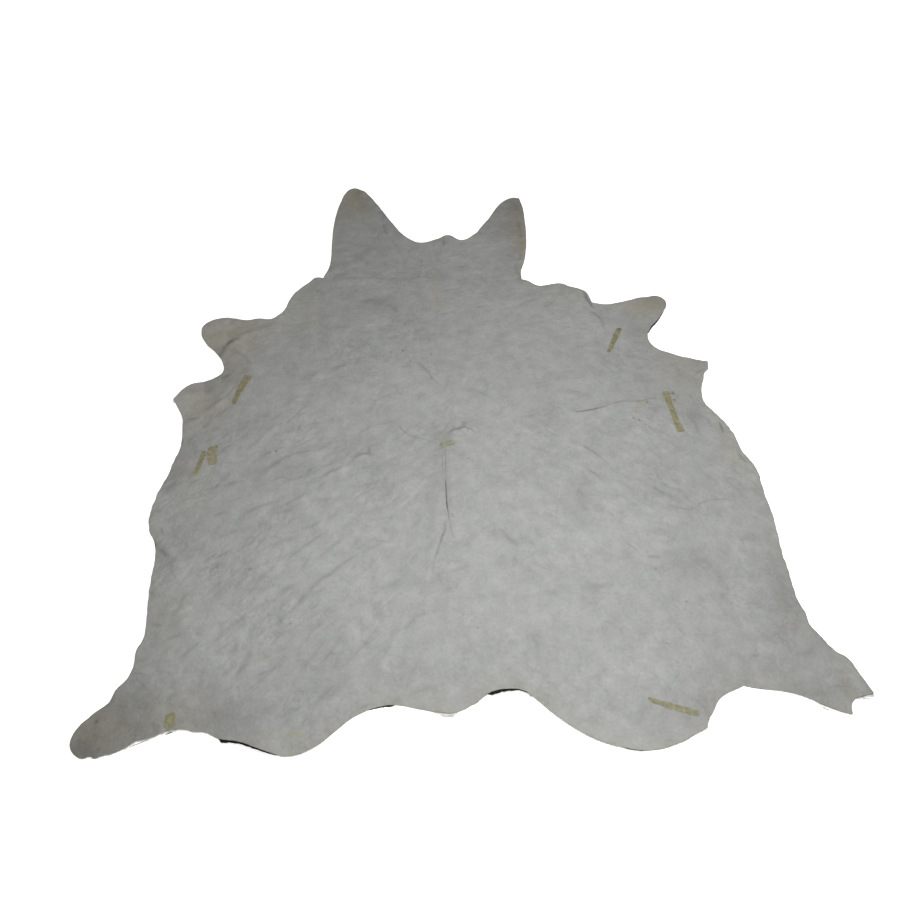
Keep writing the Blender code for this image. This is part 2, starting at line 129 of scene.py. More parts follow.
LEFT_HIND_LEG = (
    (-70.0, -102.4), (-72.6, -102.2), (-75.2, -101.5), (-79.6, -101.5), (-81.1, -102.2),
    (-83.6, -103.1), (-87.2, -103.6), (-89.6, -105.1), (-92.5, -106.4), (-95.1, -106.8),
    (-96.7, -107.3), (-98.2, -107.0), (-100.0, -107.4), (-102.5, -106.3), (-103.9, -104.0),
    (-103.6, -101.0), (-100.5, -96.9), (-96.5, -93.3), (-95.0, -90.0), (-92.8, -87.4),
    (-91.5, -82.0), (-91.6, -79.0), (-90.4, -76.8),
)
LEFT_FLANK = (
    (-90.1, -72.0), (-90.6, -66.0), (-90.9, -58.5), (-90.9, -51.0), (-91.8, -46.7), (-94.2, -41.6),
    (-94.5, -37.0), (-93.7, -31.0), (-92.9, -27.2), (-91.2, -22.0), (-90.3, -17.3), (-89.3, -13.0),
    (-89.1, -9.0), (-89.7, -3.0), (-89.9, -1.0),
)
LEFT_FORELEG = (
    (-93.2, 5.9), (-93.8, 7.2, CORNER), (-89.4, 13.9), (-85.5, 15.0), (-81.8, 16.4), (-79.0, 18.8),
    (-79.4, 23.0), (-82.6, 28.1), (-86.5, 32.3), (-88.0, 36.0), (-87.4, 39.7), (-83.6, 42.7),
    (-77.6, 43.8), (-74.8, 43.2), (-72.4, 42.8), (-69.0, 43.5), (-64.0, 43.1), (-61.7, 44.7),
)
LEFT_SHOULDER = (
    (-59.7, 46.9), (-57.8, 52.1), (-55.0, 56.7), (-50.5, 61.3), (-49.0, 62.9), (-47.7, 63.1),
    (-46.0, 62.6, CORNER),
)
CUT_EDGE = (
    LEFT_NECK + NECK_EDGE + RIGHT_NECK + RIGHT_SHOULDER + RIGHT_FORELEG + RIGHT_FLANK
    + RIGHT_HIND_LEG + RIGHT_REAR_LOBE + TAIL_ROOT + LEFT_REAR_LOBE + LEFT_HIND_LEG
    + LEFT_FLANK + LEFT_FORELEG + LEFT_SHOULDER
)

# Ridges that stand up from the surface: a crest from one end to the other, bowed to its left.
FOLDS = (
    Fold("spine, right lip", -2.6, -19.0, -1.6, -52.0, 0.0, 0.36, 2.6),
    Fold("spine, left lip", -5.8, -19.0, -11.5, -66.0, 1.4, 0.4, 2.6),
    Fold("spine, rump", 0.0, -71.0, -1.5, -94.0, 0.6, 0.2, 3.5),
    Fold("withers", -12.0, 19.0, -2.5, 3.0, 1.0, 0.32, 3.0),
    Fold("back, left arc", -31.0, -10.5, -8.5, -14.0, 4.5, 0.32, 3.2),
    Fold("back, right arc", -2.0, -12.5, 9.5, -12.5, 2.6, 0.36, 2.6),
    Fold("shoulder arc", 0.0, 6.0, 18.0, -4.5, 2.0, 0.24, 3.5),
    Fold("right crease", 35.0, -7.5, 68.0, -2.0, 0.4, 0.36, 3.4),
    Fold("right rib, upper", 27.0, -13.5, 47.0, -29.0, 1.6, 0.28, 3.6),
    Fold("right rib, lower", 37.0, -28.0, 52.0, -36.0, -0.8, 0.24, 3.4),
    Fold("right flank hook", 60.0, -26.0, 71.0, -37.5, -2.5, 0.24, 3.4),
    Fold("right flank line", 61.0, -43.5, 87.0, -43.0, 1.0, 0.28, 3.2),
    Fold("right loin", 9.0, -46.0, 25.0, -57.5, -2.2, 0.36, 3.8),
    Fold("right thigh", 44.0, -46.0, 60.0, -60.5, -2.5, 0.28, 3.6),
    Fold("right stifle", 74.0, -66.0, 89.0, -60.0, 0.8, 0.24, 3.4),
    Fold("right hock", 70.0, -91.5, 94.0, -89.5, 0.9, 0.32, 3.4),
    Fold("left long rib, rear", -64.0, -80.5, -37.0, -58.5, 1.0, 0.44, 3.8),
    Fold("left long rib, front", -40.0, -60.0, -13.0, -49.0, 1.5, 0.36, 3.6),
    Fold("left rib, second", -65.0, -61.5, -34.0, -47.0, 1.2, 0.32, 3.8),
    Fold("left rib, third", -61.0, -46.5, -35.0, -40.0, 1.2, 0.28, 3.6),
    Fold("left rib, fourth", -57.0, -41.5, -39.0, -28.0, 1.5, 0.24, 3.6),
    Fold("left rib, fifth", -63.0, -26.0, -38.0, -16.5, 3.0, 0.36, 3.8),
    Fold("left rib, sixth", -42.0, -38.5, -24.0, -32.0, 0.8, 0.2, 3.4),
    Fold("left rib, short", -36.0, -20.5, -23.5, -19.5, 1.0, 0.28, 3.0),
    Fold("left belly pleat", -91.5, -44.5, -82.0, -57.0, 0.6, 0.64, 3.4),
    Fold("left flank line", -90.0, -26.5, -69.0, -29.0, 1.2, 0.28, 3.2),
    Fold("left foreleg crease", -79.5, 28.5, -60.0, 39.0, 2.6, 0.48, 3.6),
    Fold("left foreleg, inner", -77.5, 29.0, -68.0, 19.0, 1.0, 0.32, 3.0),
    Fold("left elbow", -88.0, -0.5, -77.0, 11.0, -2.6, 0.4, 3.2),
    Fold("right shoulder, outer", 51.0, 44.0, 54.5, 28.0, 1.6, 0.44, 3.0),
    Fold("right shoulder, inner", 42.5, 39.5, 51.5, 29.5, -1.6, 0.28, 3.0),
    Fold("neck base", -42.0, 60.5, -8.0, 60.0, -1.0, 0.2, 3.2),
    Fold("left neck", -24.5, 98.0, -20.5, 82.0, 0.6, 0.28, 2.8),
    Fold("left rear edge", -54.0, -100.5, -24.0, -96.5, 1.2, 0.24, 3.2),
    Fold("left shoulder, low", -34.0, 1.0, -14.0, 8.0, 1.5, 0.2, 3.4),
    Fold("left shoulder, middle", -48.0, 26.5, -31.0, 31.5, 1.0, 0.2, 3.4),
    Fold("left shoulder, high", -52.0, 44.5, -38.0, 41.0, -1.0, 0.2, 3.2),
    Fold("left neck root", -33.0, 46.5, -18.0, 49.0, 1.0, 0.2, 3.2),
    Fold("right shoulder, low", 24.0, 5.5, 46.0, 6.5, 0.8, 0.2, 3.4),
    Fold("right shoulder, slant", 47.0, 20.5, 65.0, 5.0, -1.5, 0.24, 3.4),
    Fold("right neck root", 18.0, 43.5, 31.0, 46.5, 0.8, 0.16, 3.2),
)

# Places where the hide lies a little off the surface, most of them at its rim.
SWELLS = (
    Swell("left foreleg tip", -92.0, 42.0, 20.0, 2.4),
    Swell("left elbow tip", -96.0, 8.0, 13.0, 1.3),
    Swell("right foreleg tip", 80.0, 35.0, 15.0, 1.7),
    Swell("right elbow tip", 90.0, 10.0, 13.0, 1.0),
    Swell("left neck lobe", -35.0, 118.0, 18.0, 0.9),
    Swell("right neck lobe", 36.0, 92.0, 20.0, 1.1),
    Swell("right rear lobe", 44.0, -119.0, 22.0, 1.2),
    Swell("left rear lobe", -58.0, -111.0, 18.0, 1.2),
    Swell("tail notch", 9.0, -99.0, 14.0, 1.0),
    Swell("right hind tip", 104.0, -104.0, 13.0, 1.0),
    Swell("left hind tip", -105.0, -106.0, 16.0, 0.9),
    Swell("left belly", -98.0, -36.0, 13.0, 1.0),
    Swell("right belly", 97.0, -52.0, 14.0, 0.8),
    Swell("left shoulder", -36.0, 42.0, 26.0, 0.5),
    Swell("right shoulder", 26.0, 34.0, 24.0, 0.4),
    Swell("left ribs", -46.0, -34.0, 34.0, 0.5),
    Swell("right ribs", 54.0, -44.0, 30.0, 0.4),
    Swell("loin", 4.0, -62.0, 22.0, 0.4),
)

# Long low waves of the upper side, where the hair under it is pressed down more or less. A heading
# is in degrees from straight across, towards the neck.
RIPPLES = (
    Ripple("along the left ribs", 124.0, 23.0, 0.10),
    Ripple("along the right ribs", 52.0, 29.0, 0.10),
    Ripple("shoulders to rump", 82.0, 41.0, 0.12),
    Ripple("belly to belly", 12.0, 35.0, 0.08),
)

# Fine wrinkles that run along a heading, by the part of the hide that they cover. One is as long and
# as short as said, and rises by so many mm. Puff is the strength of the finest ones, from 0 to 1, and
# grooves counts the short grooves among them.
GRAINS = (
    Grain("left flank", 36.0, 8.5, 4.2, 6.5, 0.8, 170),
    Grain("right flank", -38.0, 6.8, 4.3, 5.0, 0.6, 45),
    Grain("shoulders", 8.0, 6.4, 4.6, 4.6, 0.45, 36),
)

# Creases: a valley along a smooth line through its marks. Width and depth are in mm. Dark is the
# shade painted into the valley, with some dirt, from 0 to 1.
CREASES = (
    Crease("spine", 1.7, 1.5, 1.0, ((-4.1, -28.3), (-4.1, -38), (-3.6, -44.3))),
    Crease("spine, thin", 1.6, 0.6, 0.4, ((-3.6, -18.1), (-4.1, -29.7))),
    Crease("spine, twin", 1.6, 0.5, 0.35, ((-4.5, -18.4), (-4.8, -22.2), (-5, -30.4))),
    Crease("spine, fork", 2.2, 0.6, 0.4, ((-3.8, -42.6), (-2.9, -50.4))),
    Crease("spine, left", 3.6, 1.0, 0.6, ((-4.7, -44), (-5.3, -47.3), (-6.6, -51), (-8.6, -57))),
    Crease("spine, left, end", 4.0, 0.6, 0.25, ((-8, -55), (-8.9, -58.5), (-9.6, -64))),
    Crease("spine, rear", 5.0, 0.5, 0.12, ((-5.5, -52.5), (-5, -59), (-6, -74))),
    Crease("loin, left", 4.0, 0.6, 0.18, ((-12, -52), (-15, -56.5), (-17.5, -58.5))),
    Crease("rump, left", 6.5, 0.7, 0.2, ((-14, -74), (-18, -78))),
    Crease("rump, right", 9.0, 0.8, 0.15, ((0, -77.5), (-0.5, -80.5), (0, -83.5), (-2, -86))),
    Crease("back, left arc", 3.2, 0.9, 0.35, ((-22, -5.5), (-19.5, -7), (-15.5, -11.5), (-8, -14.5))),
    Crease("back, right arc", 3.2, 1.1, 0.7, ((-3, -11.5), (3, -10), (6.5, -12))),
    Crease("back, right arc, over", 2.4, 0.8, 0.6, ((2.2, -8.8), (3.5, -9.9), (4.3, -11.9))),
    Crease("back, right arc, end", 3.0, 0.5, 0.2, ((8.5, -11.5), (10.5, -10.5), (13, -11.5))),
    Crease("left rib, short", 3.6, 1.0, 0.55, ((-34.5, -20), (-28.5, -18.5), (-26.5, -19.5))),
    Crease("left rib, short, mark", 4.0, 0.7, 0.35, ((-28.5, -15.5), (-27.5, -19.5))),
    Crease("withers", 5.5, 0.8, 0.42, ((-11.5, 19), (-7.5, 13))),
    Crease("withers, thin", 2.2, 0.7, 0.3, ((-8.4, 14.6), (-6.8, 11), (-3.9, 6.9))),
    Crease("shoulder arc", 3.5, 0.6, 0.22, ((0.5, 5.5), (7, 5), (15.5, -1.5))),
    Crease("right crease", 2.3, 1.2, 0.85, ((39.3, -6.1), (42, -6), (50.5, -4.6))),
    Crease(
        "right crease, end", 2.6, 0.9, 0.4,
        (
            (49.5, -4.7), (52.3, -3.6), (55.1, -2.9), (58.3, -3.2), (61.7, -3.2), (65.8, -2.4),
            (69.8, -2.5),
        ),
    ),
    Crease("right streak", 3.2, 0.7, 0.35, ((22.5, -7), (27, -6.5))),
    Crease("right shoulder, streak", 4.0, 0.5, 0.2, ((27.5, 5), (32.5, 5.5))),
    Crease("right rib, upper", 4.0, 0.9, 0.4, ((39, -18.5), (44.5, -23.5), (47.5, -28))),
    Crease("right rib, next", 4.0, 0.7, 0.25, ((40.5, -28.5), (45.5, -34))),
    Crease("right rib, steep", 8.0, 0.8, 0.22, ((36, -35), (38.5, -39))),
    Crease("right rib, steep, low", 6.0, 0.6, 0.15, ((36.5, -40.5), (39, -45))),
    Crease("right arc", 3.0, 0.4, 0.12, ((31, -38.5), (29, -43), (30, -45.5))),
    Crease(
        "right hook", 3.5, 0.7, 0.25,
        ((57.5, -26.5), (61.5, -30.5), (62, -34), (64, -36.5), (67.5, -38), (71.5, -38.5)),
    ),
    Crease(
        "right flank line", 3.0, 0.7, 0.32,
        ((61.5, -43), (70, -44.5), (72.5, -43), (76.5, -42), (84, -42.5)),
    ),
    Crease("right flank, down", 3.0, 0.5, 0.22, ((71.5, -48), (72.5, -53.5))),
    Crease("right flank, slant", 3.0, 0.5, 0.2, ((47.5, -54), (51.5, -58.5))),
    Crease("right flank, mark", 3.8, 0.7, 0.4, ((53, -59.5), (57, -60))),
    Crease(
        "right stifle", 9.0, 0.8, 0.22,
        ((64.5, -63.5), (67.5, -61.5), (69.5, -61.5), (71.5, -63.5)),
    ),
    Crease("right stifle, low", 6.0, 0.5, 0.15, ((65.5, -63.5), (66.5, -67))),
    Crease("right thigh", 7.0, 0.7, 0.2, ((32.5, -68), (42.5, -68))),
    Crease("right loin", 9.0, 1.0, 0.3, ((11, -47.5), (16.5, -55))),
    Crease("right loin, low", 8.0, 0.6, 0.25, ((14, -57), (16, -59.5))),
    Crease("right loin, thin", 3.2, 0.5, 0.2, ((16.5, -55), (19.5, -56.5), (22.5, -56), (25, -56.5))),
    Crease("right rump, thin", 3.0, 0.5, 0.2, ((21, -68), (25, -69.5), (26.5, -71))),
    Crease("right rump", 7.0, 0.7, 0.15, ((14.5, -78), (17.5, -82.5), (19, -89))),
    Crease("right hock", 6.0, 0.7, 0.25, ((87, -91), (92.5, -90))),
    Crease("right hock, inner", 4.0, 0.5, 0.2, ((74.5, -91), (79, -90))),
    Crease("right armpit", 4.0, 0.6, 0.25, ((77, -10.5), (78.5, -16.5))),
    Crease("right rim", 3.0, 1.0, 0.75, ((85.5, -13), (86, -18))),
    Crease("right rim, rear", 3.0, 0.9, 0.5, ((88.5, -25), (90.5, -29.5))),
    Crease(
        "left long rib", 6.5, 1.2, 0.34,
        ((-59.5, -77.5), (-49.3, -70.3), (-46, -66), (-36, -57), (-30.5, -53.5)),
    ),
    Crease("left long rib, dark", 4.5, 0.6, 0.42, ((-50, -71), (-48, -68.5))),
    Crease("left long rib, dark, next", 4.5, 0.6, 0.38, ((-40, -61), (-37.5, -58.5))),
    Crease("left rib, second", 4.0, 0.8, 0.25, ((-43.5, -55), (-33, -46))),
    Crease("left rib, third", 6.0, 0.9, 0.35, ((-54, -40), (-52.5, -38), (-48, -35))),
    Crease("left rib, third, end", 3.5, 0.6, 0.2, ((-46.5, -35), (-36.5, -34))),
    Crease("left rib, fifth", 7.0, 1.0, 0.36, ((-61.5, -23.5), (-53, -17))),
    Crease("left rib, fifth, end", 4.0, 0.7, 0.25, ((-53.5, -17), (-44, -16))),
    Crease("left rib, sixth", 4.0, 0.7, 0.25, ((-43.5, -27.5), (-39, -24.5), (-36.5, -24))),
    Crease("left rib, seventh", 3.5, 0.6, 0.25, ((-59, -27.5), (-55.5, -26), (-52, -27), (-48.5, -26))),
    Crease("left rib, stub", 4.5, 0.7, 0.3, ((-46.5, -44.5), (-42, -42))),
    Crease("left rib, rear stub", 4.5, 0.7, 0.28, ((-53, -64.5), (-50.5, -62.5))),
    Crease("left rib, low", 6.0, 0.7, 0.2, ((-62, -60.5), (-59, -59.5), (-54, -55.5))),
    Crease("left rib, flat", 4.0, 0.6, 0.2, ((-59.5, -47.5), (-56, -46.5), (-52, -48), (-48, -47.5))),
    Crease("left rib, high", 4.0, 0.6, 0.2, ((-33, -35.5), (-27.5, -32), (-23.5, -30.5))),
    Crease("left back, dark", 6.0, 0.6, 0.22, ((-29.5, -41), (-25, -38))),
    Crease("left back, tick", 3.5, 0.5, 0.22, ((-19.5, -35.5), (-17, -32))),
    Crease("left back, blot", 10.0, 0.5, 0.14, ((-22, -65.5), (-20.5, -64.5), (-19, -65))),
    Crease("left stifle, blot", 9.0, 0.5, 0.16, ((-66, -80.5), (-63.5, -80))),
    Crease("left flank, long", 4.5, 0.7, 0.28, ((-81.5, -30), (-74.5, -27.5), (-66, -26))),
    Crease("left flank, tick", 3.5, 0.6, 0.3, ((-75.5, -38.5), (-71, -36.5))),
    Crease("left flank, slant", 3.5, 0.5, 0.18, ((-83.5, -51), (-78.5, -45))),
    Crease("left flank, low slant", 4.0, 0.5, 0.15, ((-73, -66.5), (-69, -61))),
    Crease(
        "left belly pleat", 4.0, 1.4, 0.85,
        ((-94.5, -43), (-92, -46.4), (-90.8, -48.1), (-89.4, -49.2)),
    ),
    Crease("left belly pleat, inner", 6.0, 0.9, 0.4, ((-90.5, -48.2), (-88.4, -50.1), (-86, -52))),
    Crease(
        "left belly pleat, end", 5.0, 0.8, 0.22,
        ((-88.5, -49.5), (-86.5, -51.5), (-84.5, -52), (-83, -51)),
    ),
    Crease("left belly, hook", 4.5, 0.5, 0.15, ((-86, -51.5), (-84, -54), (-84, -56))),
    Crease("left belly, spot", 4.0, 0.5, 0.35, ((-90.5, -40.5), (-90, -43), (-89, -44))),
    Crease("left flank, rim, front", 7.0, 0.6, 0.5, ((-90, -6), (-89.5, -10), (-91, -14))),
    Crease("left flank, rim", 6.0, 0.6, 0.3, ((-90.5, -58), (-89.5, -65.5))),
    Crease("left flank, rim, low", 5.0, 0.6, 0.3, ((-89, -72.5), (-87, -72.5), (-85.5, -73.5))),
    Crease("left rear, dark", 5.0, 0.5, 0.3, ((-56.5, -84), (-54, -83))),
    Crease("left rear edge", 5.0, 0.5, 0.12, ((-55, -101.5), (-45.5, -97.5), (-35, -97))),
    Crease(
        "left foreleg", 7.0, 1.3, 0.65,
        ((-82, 24.5), (-80.2, 28), (-79, 30.6), (-77.3, 33), (-75, 34.4)),
    ),
    Crease("left foreleg, upper", 6.0, 0.5, 0.08, ((-78, 32.5), (-72, 37.5), (-67, 38))),
    Crease("left foreleg, inner", 5.0, 0.8, 0.25, ((-78.5, 26), (-76, 27.5), (-70, 22.5), (-69, 19))),
    Crease("left armpit, dark", 4.0, 0.8, 0.6, ((-79.5, 16), (-76, 17.5))),
    Crease("left elbow", 5.0, 0.9, 0.3, ((-83, 2), (-76, 9), (-73.5, 13))),
    Crease("left elbow, low", 4.0, 0.9, 0.45, ((-89, -1), (-84, -0.5))),
    Crease("left elbow, blot", 9.0, 0.5, 0.25, ((-84.5, 10), (-81, 12.5))),
    Crease("left shoulder, tick", 3.0, 0.6, 0.4, ((-51.5, -8), (-50.5, -5))),
    Crease("left shoulder, line", 3.5, 0.6, 0.22, ((-50, -6.5), (-47, -5), (-43, -4.5))),
    Crease("left shoulder, stripe", 4.0, 0.6, 0.25, ((-31.5, -10), (-26.5, -7))),
    Crease("left shoulder, down", 5.0, 0.5, 0.2, ((-55.5, 22.5), (-52.5, 17))),
    Crease("left shoulder, blot", 12.0, 0.5, 0.13, ((-34, 12.5), (-30.5, 10))),
    Crease("left shoulder, high", 9.0, 0.7, 0.18, ((-33.5, 49.5), (-24.5, 48.5))),
    Crease("left shoulder, high, next", 5.0, 0.7, 0.25, ((-22.5, 47), (-19.5, 45), (-18.5, 42.5))),
    Crease("left shoulder, edge", 6.0, 0.6, 0.2, ((-49, 56), (-45.5, 55), (-43, 56))),
    Crease("neck base", 4.0, 0.6, 0.2, ((-40.5, 59.5), (-35, 61.5), (-22.5, 61))),
    Crease("neck base, next", 3.0, 0.5, 0.22, ((-15.5, 58.5), (-9.5, 60.5), (-3.5, 59))),
    Crease("neck, right streak", 3.0, 0.5, 0.2, ((9.5, 43), (15.5, 44.5))),
    Crease("neck, right edge", 5.0, 0.5, 0.2, ((25, 42.5), (28.5, 44.5), (33.5, 46))),
    Crease("left neck", 5.5, 0.9, 0.4, ((-24, 94.5), (-22, 85))),
    Crease("left neck, low", 4.0, 0.6, 0.3, ((-20, 83), (-18.5, 79), (-17, 78))),
    Crease("neck tuft", 6.0, 0.5, 0.35, ((0, 80.5), (0.5, 76.5))),
    Crease("left neck tip", 12.0, 0.5, 0.3, ((-36.5, 111.5), (-32, 110.5))),
    Crease("right neck tip", 12.0, 0.5, 0.3, ((28, 100), (29.5, 98.5), (30, 94))),
    Crease("right neck rim", 6.0, 0.5, 0.4, ((30, 88.5), (30.5, 78))),
    Crease("right neck rim, low", 5.0, 0.5, 0.35, ((29.5, 72.5), (29, 68.5), (27, 65), (27.5, 58.5))),
    Crease("right shoulder, outer", 4.5, 1.1, 0.8, ((50, 53), (51.5, 43), (53.5, 38))),
    Crease("right shoulder, end", 4.0, 0.9, 0.45, ((51, 39.5), (54.5, 34), (55, 30))),
    Crease("right shoulder, inner", 4.0, 0.7, 0.25, ((44, 37), (46.5, 31), (49.5, 30), (51, 28))),
    Crease("right shoulder, low", 3.5, 0.6, 0.22, ((50.5, 15.5), (56, 8.5))),
    Crease("right elbow", 4.0, 0.8, 0.4, ((82, 7), (86, 9))),
    Crease("right elbow, upper", 4.0, 0.7, 0.3, ((82, 12.5), (84, 12), (86.5, 12.5))),
    Crease("right armpit, line", 3.5, 0.5, 0.2, ((60.5, 16.5), (63, 16), (67, 17))),
)

# Spots: dark from 0 to 1, and glue from 0 to 1, by their reach in cm.
STAINS = (
    Stain("right smear", 61.9, -3.8, 1.7, 0.0, 0.9),
    Stain("right smear, end", 63.3, -3.3, 1.1, 0.1, 0.7),
    Stain("right smear, dot", 63.9, -3.8, 0.6, 0.85, 0.2),
    Stain("right smear, tail", 61.5, -5.1, 0.9, 0.1, 0.6),
    Stain("right dot", 58.3, -9.9, 0.6, 0.8, 0.0),
    Stain("right dot, next", 60.0, -10.8, 0.6, 0.85, 0.2),
    Stain("right dot, low", 60.3, -11.5, 0.9, 0.1, 0.8),
    Stain("right tape, dot", 73.1, -0.7, 1.0, 1.0, 0.2),
    Stain("right tape, dot, next", 73.0, -3.5, 0.9, 0.9, 0.2),
    Stain("right tape, crumb", 74.3, -2.0, 1.2, 0.35, 0.6),
    Stain("right tape, crumb, low", 72.6, -4.6, 1.0, 0.1, 0.6),
    Stain("right tape, glue", 69.8, -0.8, 1.5, 0.1, 0.5),
    Stain("left dot", -57.8, -15.7, 0.7, 1.0, 0.0),
    Stain("left dot, next", -59.7, -16.3, 0.6, 0.55, 0.0),
    Stain("left dot, last", -61.0, -15.8, 0.4, 0.4, 0.0),
    Stain("flank dot", -62.4, -56.8, 0.8, 0.55, 0.0),
    Stain("flank dot, next", -61.0, -58.0, 0.5, 0.5, 0.0),
    Stain("thigh dot", -49.6, -74.1, 0.6, 0.6, 0.0),
    Stain("left hind dot", -98.4, -98.3, 0.8, 0.9, 0.0),
    Stain("left hind dot, low", -96.5, -105.4, 0.9, 0.5, 0.0),
    Stain("right belly dot", 55.0, -63.6, 0.5, 0.6, 0.0),
    Stain("right thigh dot", 61.5, -74.1, 0.5, 0.7, 0.0),
    Stain("right thigh dot, rear", 53.8, -85.7, 0.5, 0.55, 0.0),
    Stain("shoulder dot", -16.5, 24.2, 0.8, 0.8, 0.0),
    Stain("shoulder dot, next", -20.7, 23.8, 0.9, 0.5, 0.0),
    Stain("shoulder dot, outer", -35.0, 30.2, 0.8, 0.4, 0.0),
    Stain("shoulder dot, front", -18.6, 43.8, 0.8, 0.5, 0.0),
    Stain("neck dot", -33.5, 54.6, 0.7, 0.5, 0.0),
    Stain("neck dot, next", -36.5, 53.2, 0.7, 0.4, 0.0),
    Stain("neck dot, outer", -47.7, 55.3, 0.9, 0.45, 0.0),
    Stain("left rump, glue", -47.4, -104.1, 1.4, 0.0, 0.8),
    Stain("left rump, glue, next", -45.9, -104.3, 1.4, 0.0, 0.75),
    Stain("left rump, glue, end", -44.4, -104.4, 1.2, 0.0, 0.6),
    Stain("left rump, glue, rim", -47.1, -108.7, 1.6, 0.0, 0.35),
    Stain("left thigh, glue", -55.6, -83.3, 1.1, 0.1, 0.8),
    Stain("left loin, glue", -40.6, -72.7, 1.3, 0.0, 0.4),
    Stain("left belly, glue", -89.9, -51.8, 1.3, 0.0, 0.4),
    Stain("left shoulder, glue", -50.7, 38.9, 2.6, 0.0, 0.35),
    Stain("spine, glue", -4.5, -41.8, 1.3, 0.0, 0.5),
    Stain("back, glue", -4.0, -13.0, 1.8, 0.0, 0.3),
    Stain("spine, neck", -2.7, 45.0, 4.0, 0.0, 0.22),
    Stain("spine, withers", -4.2, 33.3, 4.5, 0.0, 0.2),
    Stain("rump, dot", 2.5, -78.4, 0.5, 0.5, 0.2),
)

# Broad patches of a lighter or darker skin: tone is a share of the colour, and warm is from 0 to 1.
BLOTCHES = (
    Blotch("left shoulder", -26, 40, 26, 17, -0.06, 0.0),
    Blotch("right shoulder", 44, 36, 40, 24, 0.09, 0.05),
    Blotch("neck, right", 9, 72, 24, 18, 0.12, 0.1),
    Blotch("neck, left", -16, 68, 16, 14, 0.07, 0.1),
    Blotch("left neck tip", -35, 109, 14, 26, -0.09, 0.85),
    Blotch("right neck tip", 30, 88, 10, 30, -0.18, 0.6),
    Blotch("right neck, rim", 31, 74, 3, 18, -0.05, 1.0),
    Blotch("right neck root, rim", 28.3, 57, 2.5, 5, -0.2, 0.3),
    Blotch("left foreleg", -80, 34, 26, 20, -0.02, 0.65),
    Blotch("left shoulder, dark", -35, 27, 11, 9, -0.1, 0.0),
    Blotch("left armpit", -77, 18, 14, 12, -0.12, 0.35),
    Blotch("left elbow", -92, 6, 12, 14, 0.06, 0.0),
    Blotch("left elbow, inner", -84, 5, 18, 19, -0.07, 0.5),
    Blotch("right foreleg", 75, 40, 20, 13, -0.1, 0.7),
    Blotch("right elbow", 80, 9, 18, 16, -0.07, 0.35),
    Blotch("spine", -5, -24, 9, 26, -0.06, 0.0),
    Blotch("back", -6, -13, 13, 8, -0.08, 0.0),
    Blotch("left ribs", -50, -24, 22, 10, -0.06, 0.0),
    Blotch("left loin", -44, -60, 46, 26, 0.05, 0.0),
    Blotch("left stifle", -69, -77, 20, 19, 0.17, 0.0),
    Blotch("left ribs, light", -66, -34, 12, 9, 0.1, 0.0),
    Blotch("left rump, light", -26, -84, 12, 10, 0.08, 0.0),
    Blotch("left belly", -89, -20, 11, 16, -0.14, 0.25),
    Blotch("left hind leg", -98, -101, 22, 16, -0.26, 0.6),
    # The left hind tip is darker partly as skin tone and partly as painted shade at its rim.
    Blotch("left hind tip", -101, -107, 14, 8, -0.18, 0.2),
    Blotch("left hock", -80, -98, 22, 12, -0.06, 0.35),
    Blotch("left hock, rim", -94, -90, 9, 11, -0.13, 0.2),
    Blotch("right hind leg", 98, -97, 18, 18, -0.02, 0.05),
    Blotch("right hind leg, inner", 86, -101, 10, 8, -0.09, 0.0),
    Blotch("right hind tip", 98, -101, 4, 6, -0.08, 0.4),
    Blotch("right flank, light fleck", 91.6, -34.6, 2.2, 2.2, 0.2, 0.0),
    Blotch("right rump", 40, -94, 28, 14, 0.08, 0.0),
    Blotch("right rear lobe", 43, -114, 26, 12, 0.11, 0.05),
    Blotch("right rear lobe, inner", 33, -109, 12, 8, 0.06, 0.0),
    Blotch("left hock, inner", -64, -99, 16, 9, -0.13, 0.0),
    Blotch("neck, middle", 9, 49, 11, 9, 0.09, 0.0),
    Blotch("left flank, rear", -79, -61, 12, 10, 0.09, 0.0),
    Blotch("left ribs, rear", -55, -49, 11, 9, 0.08, 0.0),
    Blotch("rump", 7, -76, 11, 9, 0.08, 0.0),
    Blotch("right ribs, dark", 37, -38, 9, 15, -0.11, 0.0),
    Blotch("back, front", 5, -6, 11, 8, -0.08, 0.0),
    Blotch("tail root", 5, -97, 12, 8, -0.09, 0.1),
    Blotch("right stifle", 66, -63, 12, 7, -0.08, 0.0),
    Blotch("right belly", 90, -76, 13, 22, -0.14, 0.1),
    Blotch("right flank", 88, -22, 8, 20, 0.02, 0.35),
    Blotch("neck root", -23, 48, 11, 6, -0.16, 0.0),
    Blotch("neck, spine", -4, 54, 4, 16, 0.0, 0.3),
    Blotch("left shoulder, rear", -52, 14, 9, 7, -0.09, 0.0),
    Blotch("left foreleg, rear", -82, 27, 9, 6, -0.14, 0.5),
    Blotch("left ribs, inner", -29, -14, 11, 6, -0.08, 0.0),
    Blotch("back, right", 30, -8, 18, 9, -0.1, 0.0),
    Blotch("back, left", -25, -26, 15, 9, -0.07, 0.0),
    Blotch("right flank, front", 78, -9, 8, 13, -0.14, 0.1),
    Blotch("right foreleg, inner", 69, 27, 9, 6, -0.15, 0.0),
    Blotch("rump, front", 12, -60, 9, 6, -0.07, 0.0),
    Blotch("middle", 30, -28, 36, 24, -0.03, 0.0),
    Blotch("left shoulder, front", -53, 44, 20, 20, 0.0, 0.2),
    Blotch("right shoulder, front", 44, 50, 24, 18, 0.0, 0.2),
    Blotch("left flank, rim", -83, -24, 13, 26, 0.0, 0.2),
    Blotch("left stifle, rim", -85, -72, 12, 16, 0.0, 0.2),
    Blotch("neck root, light", -28, 38, 9, 6, 0.10, 0.0),
)

# Where the skin is pebbled with small dark dips.
PEBBLES = (
    Patch("neck", -12, 62, 22, 20),
    Patch("withers", -11, 30, 18, 32),
    Patch("back", -2, -10, 16, 9),
    Patch("left shoulder", -34, 24, 22, 22),
)

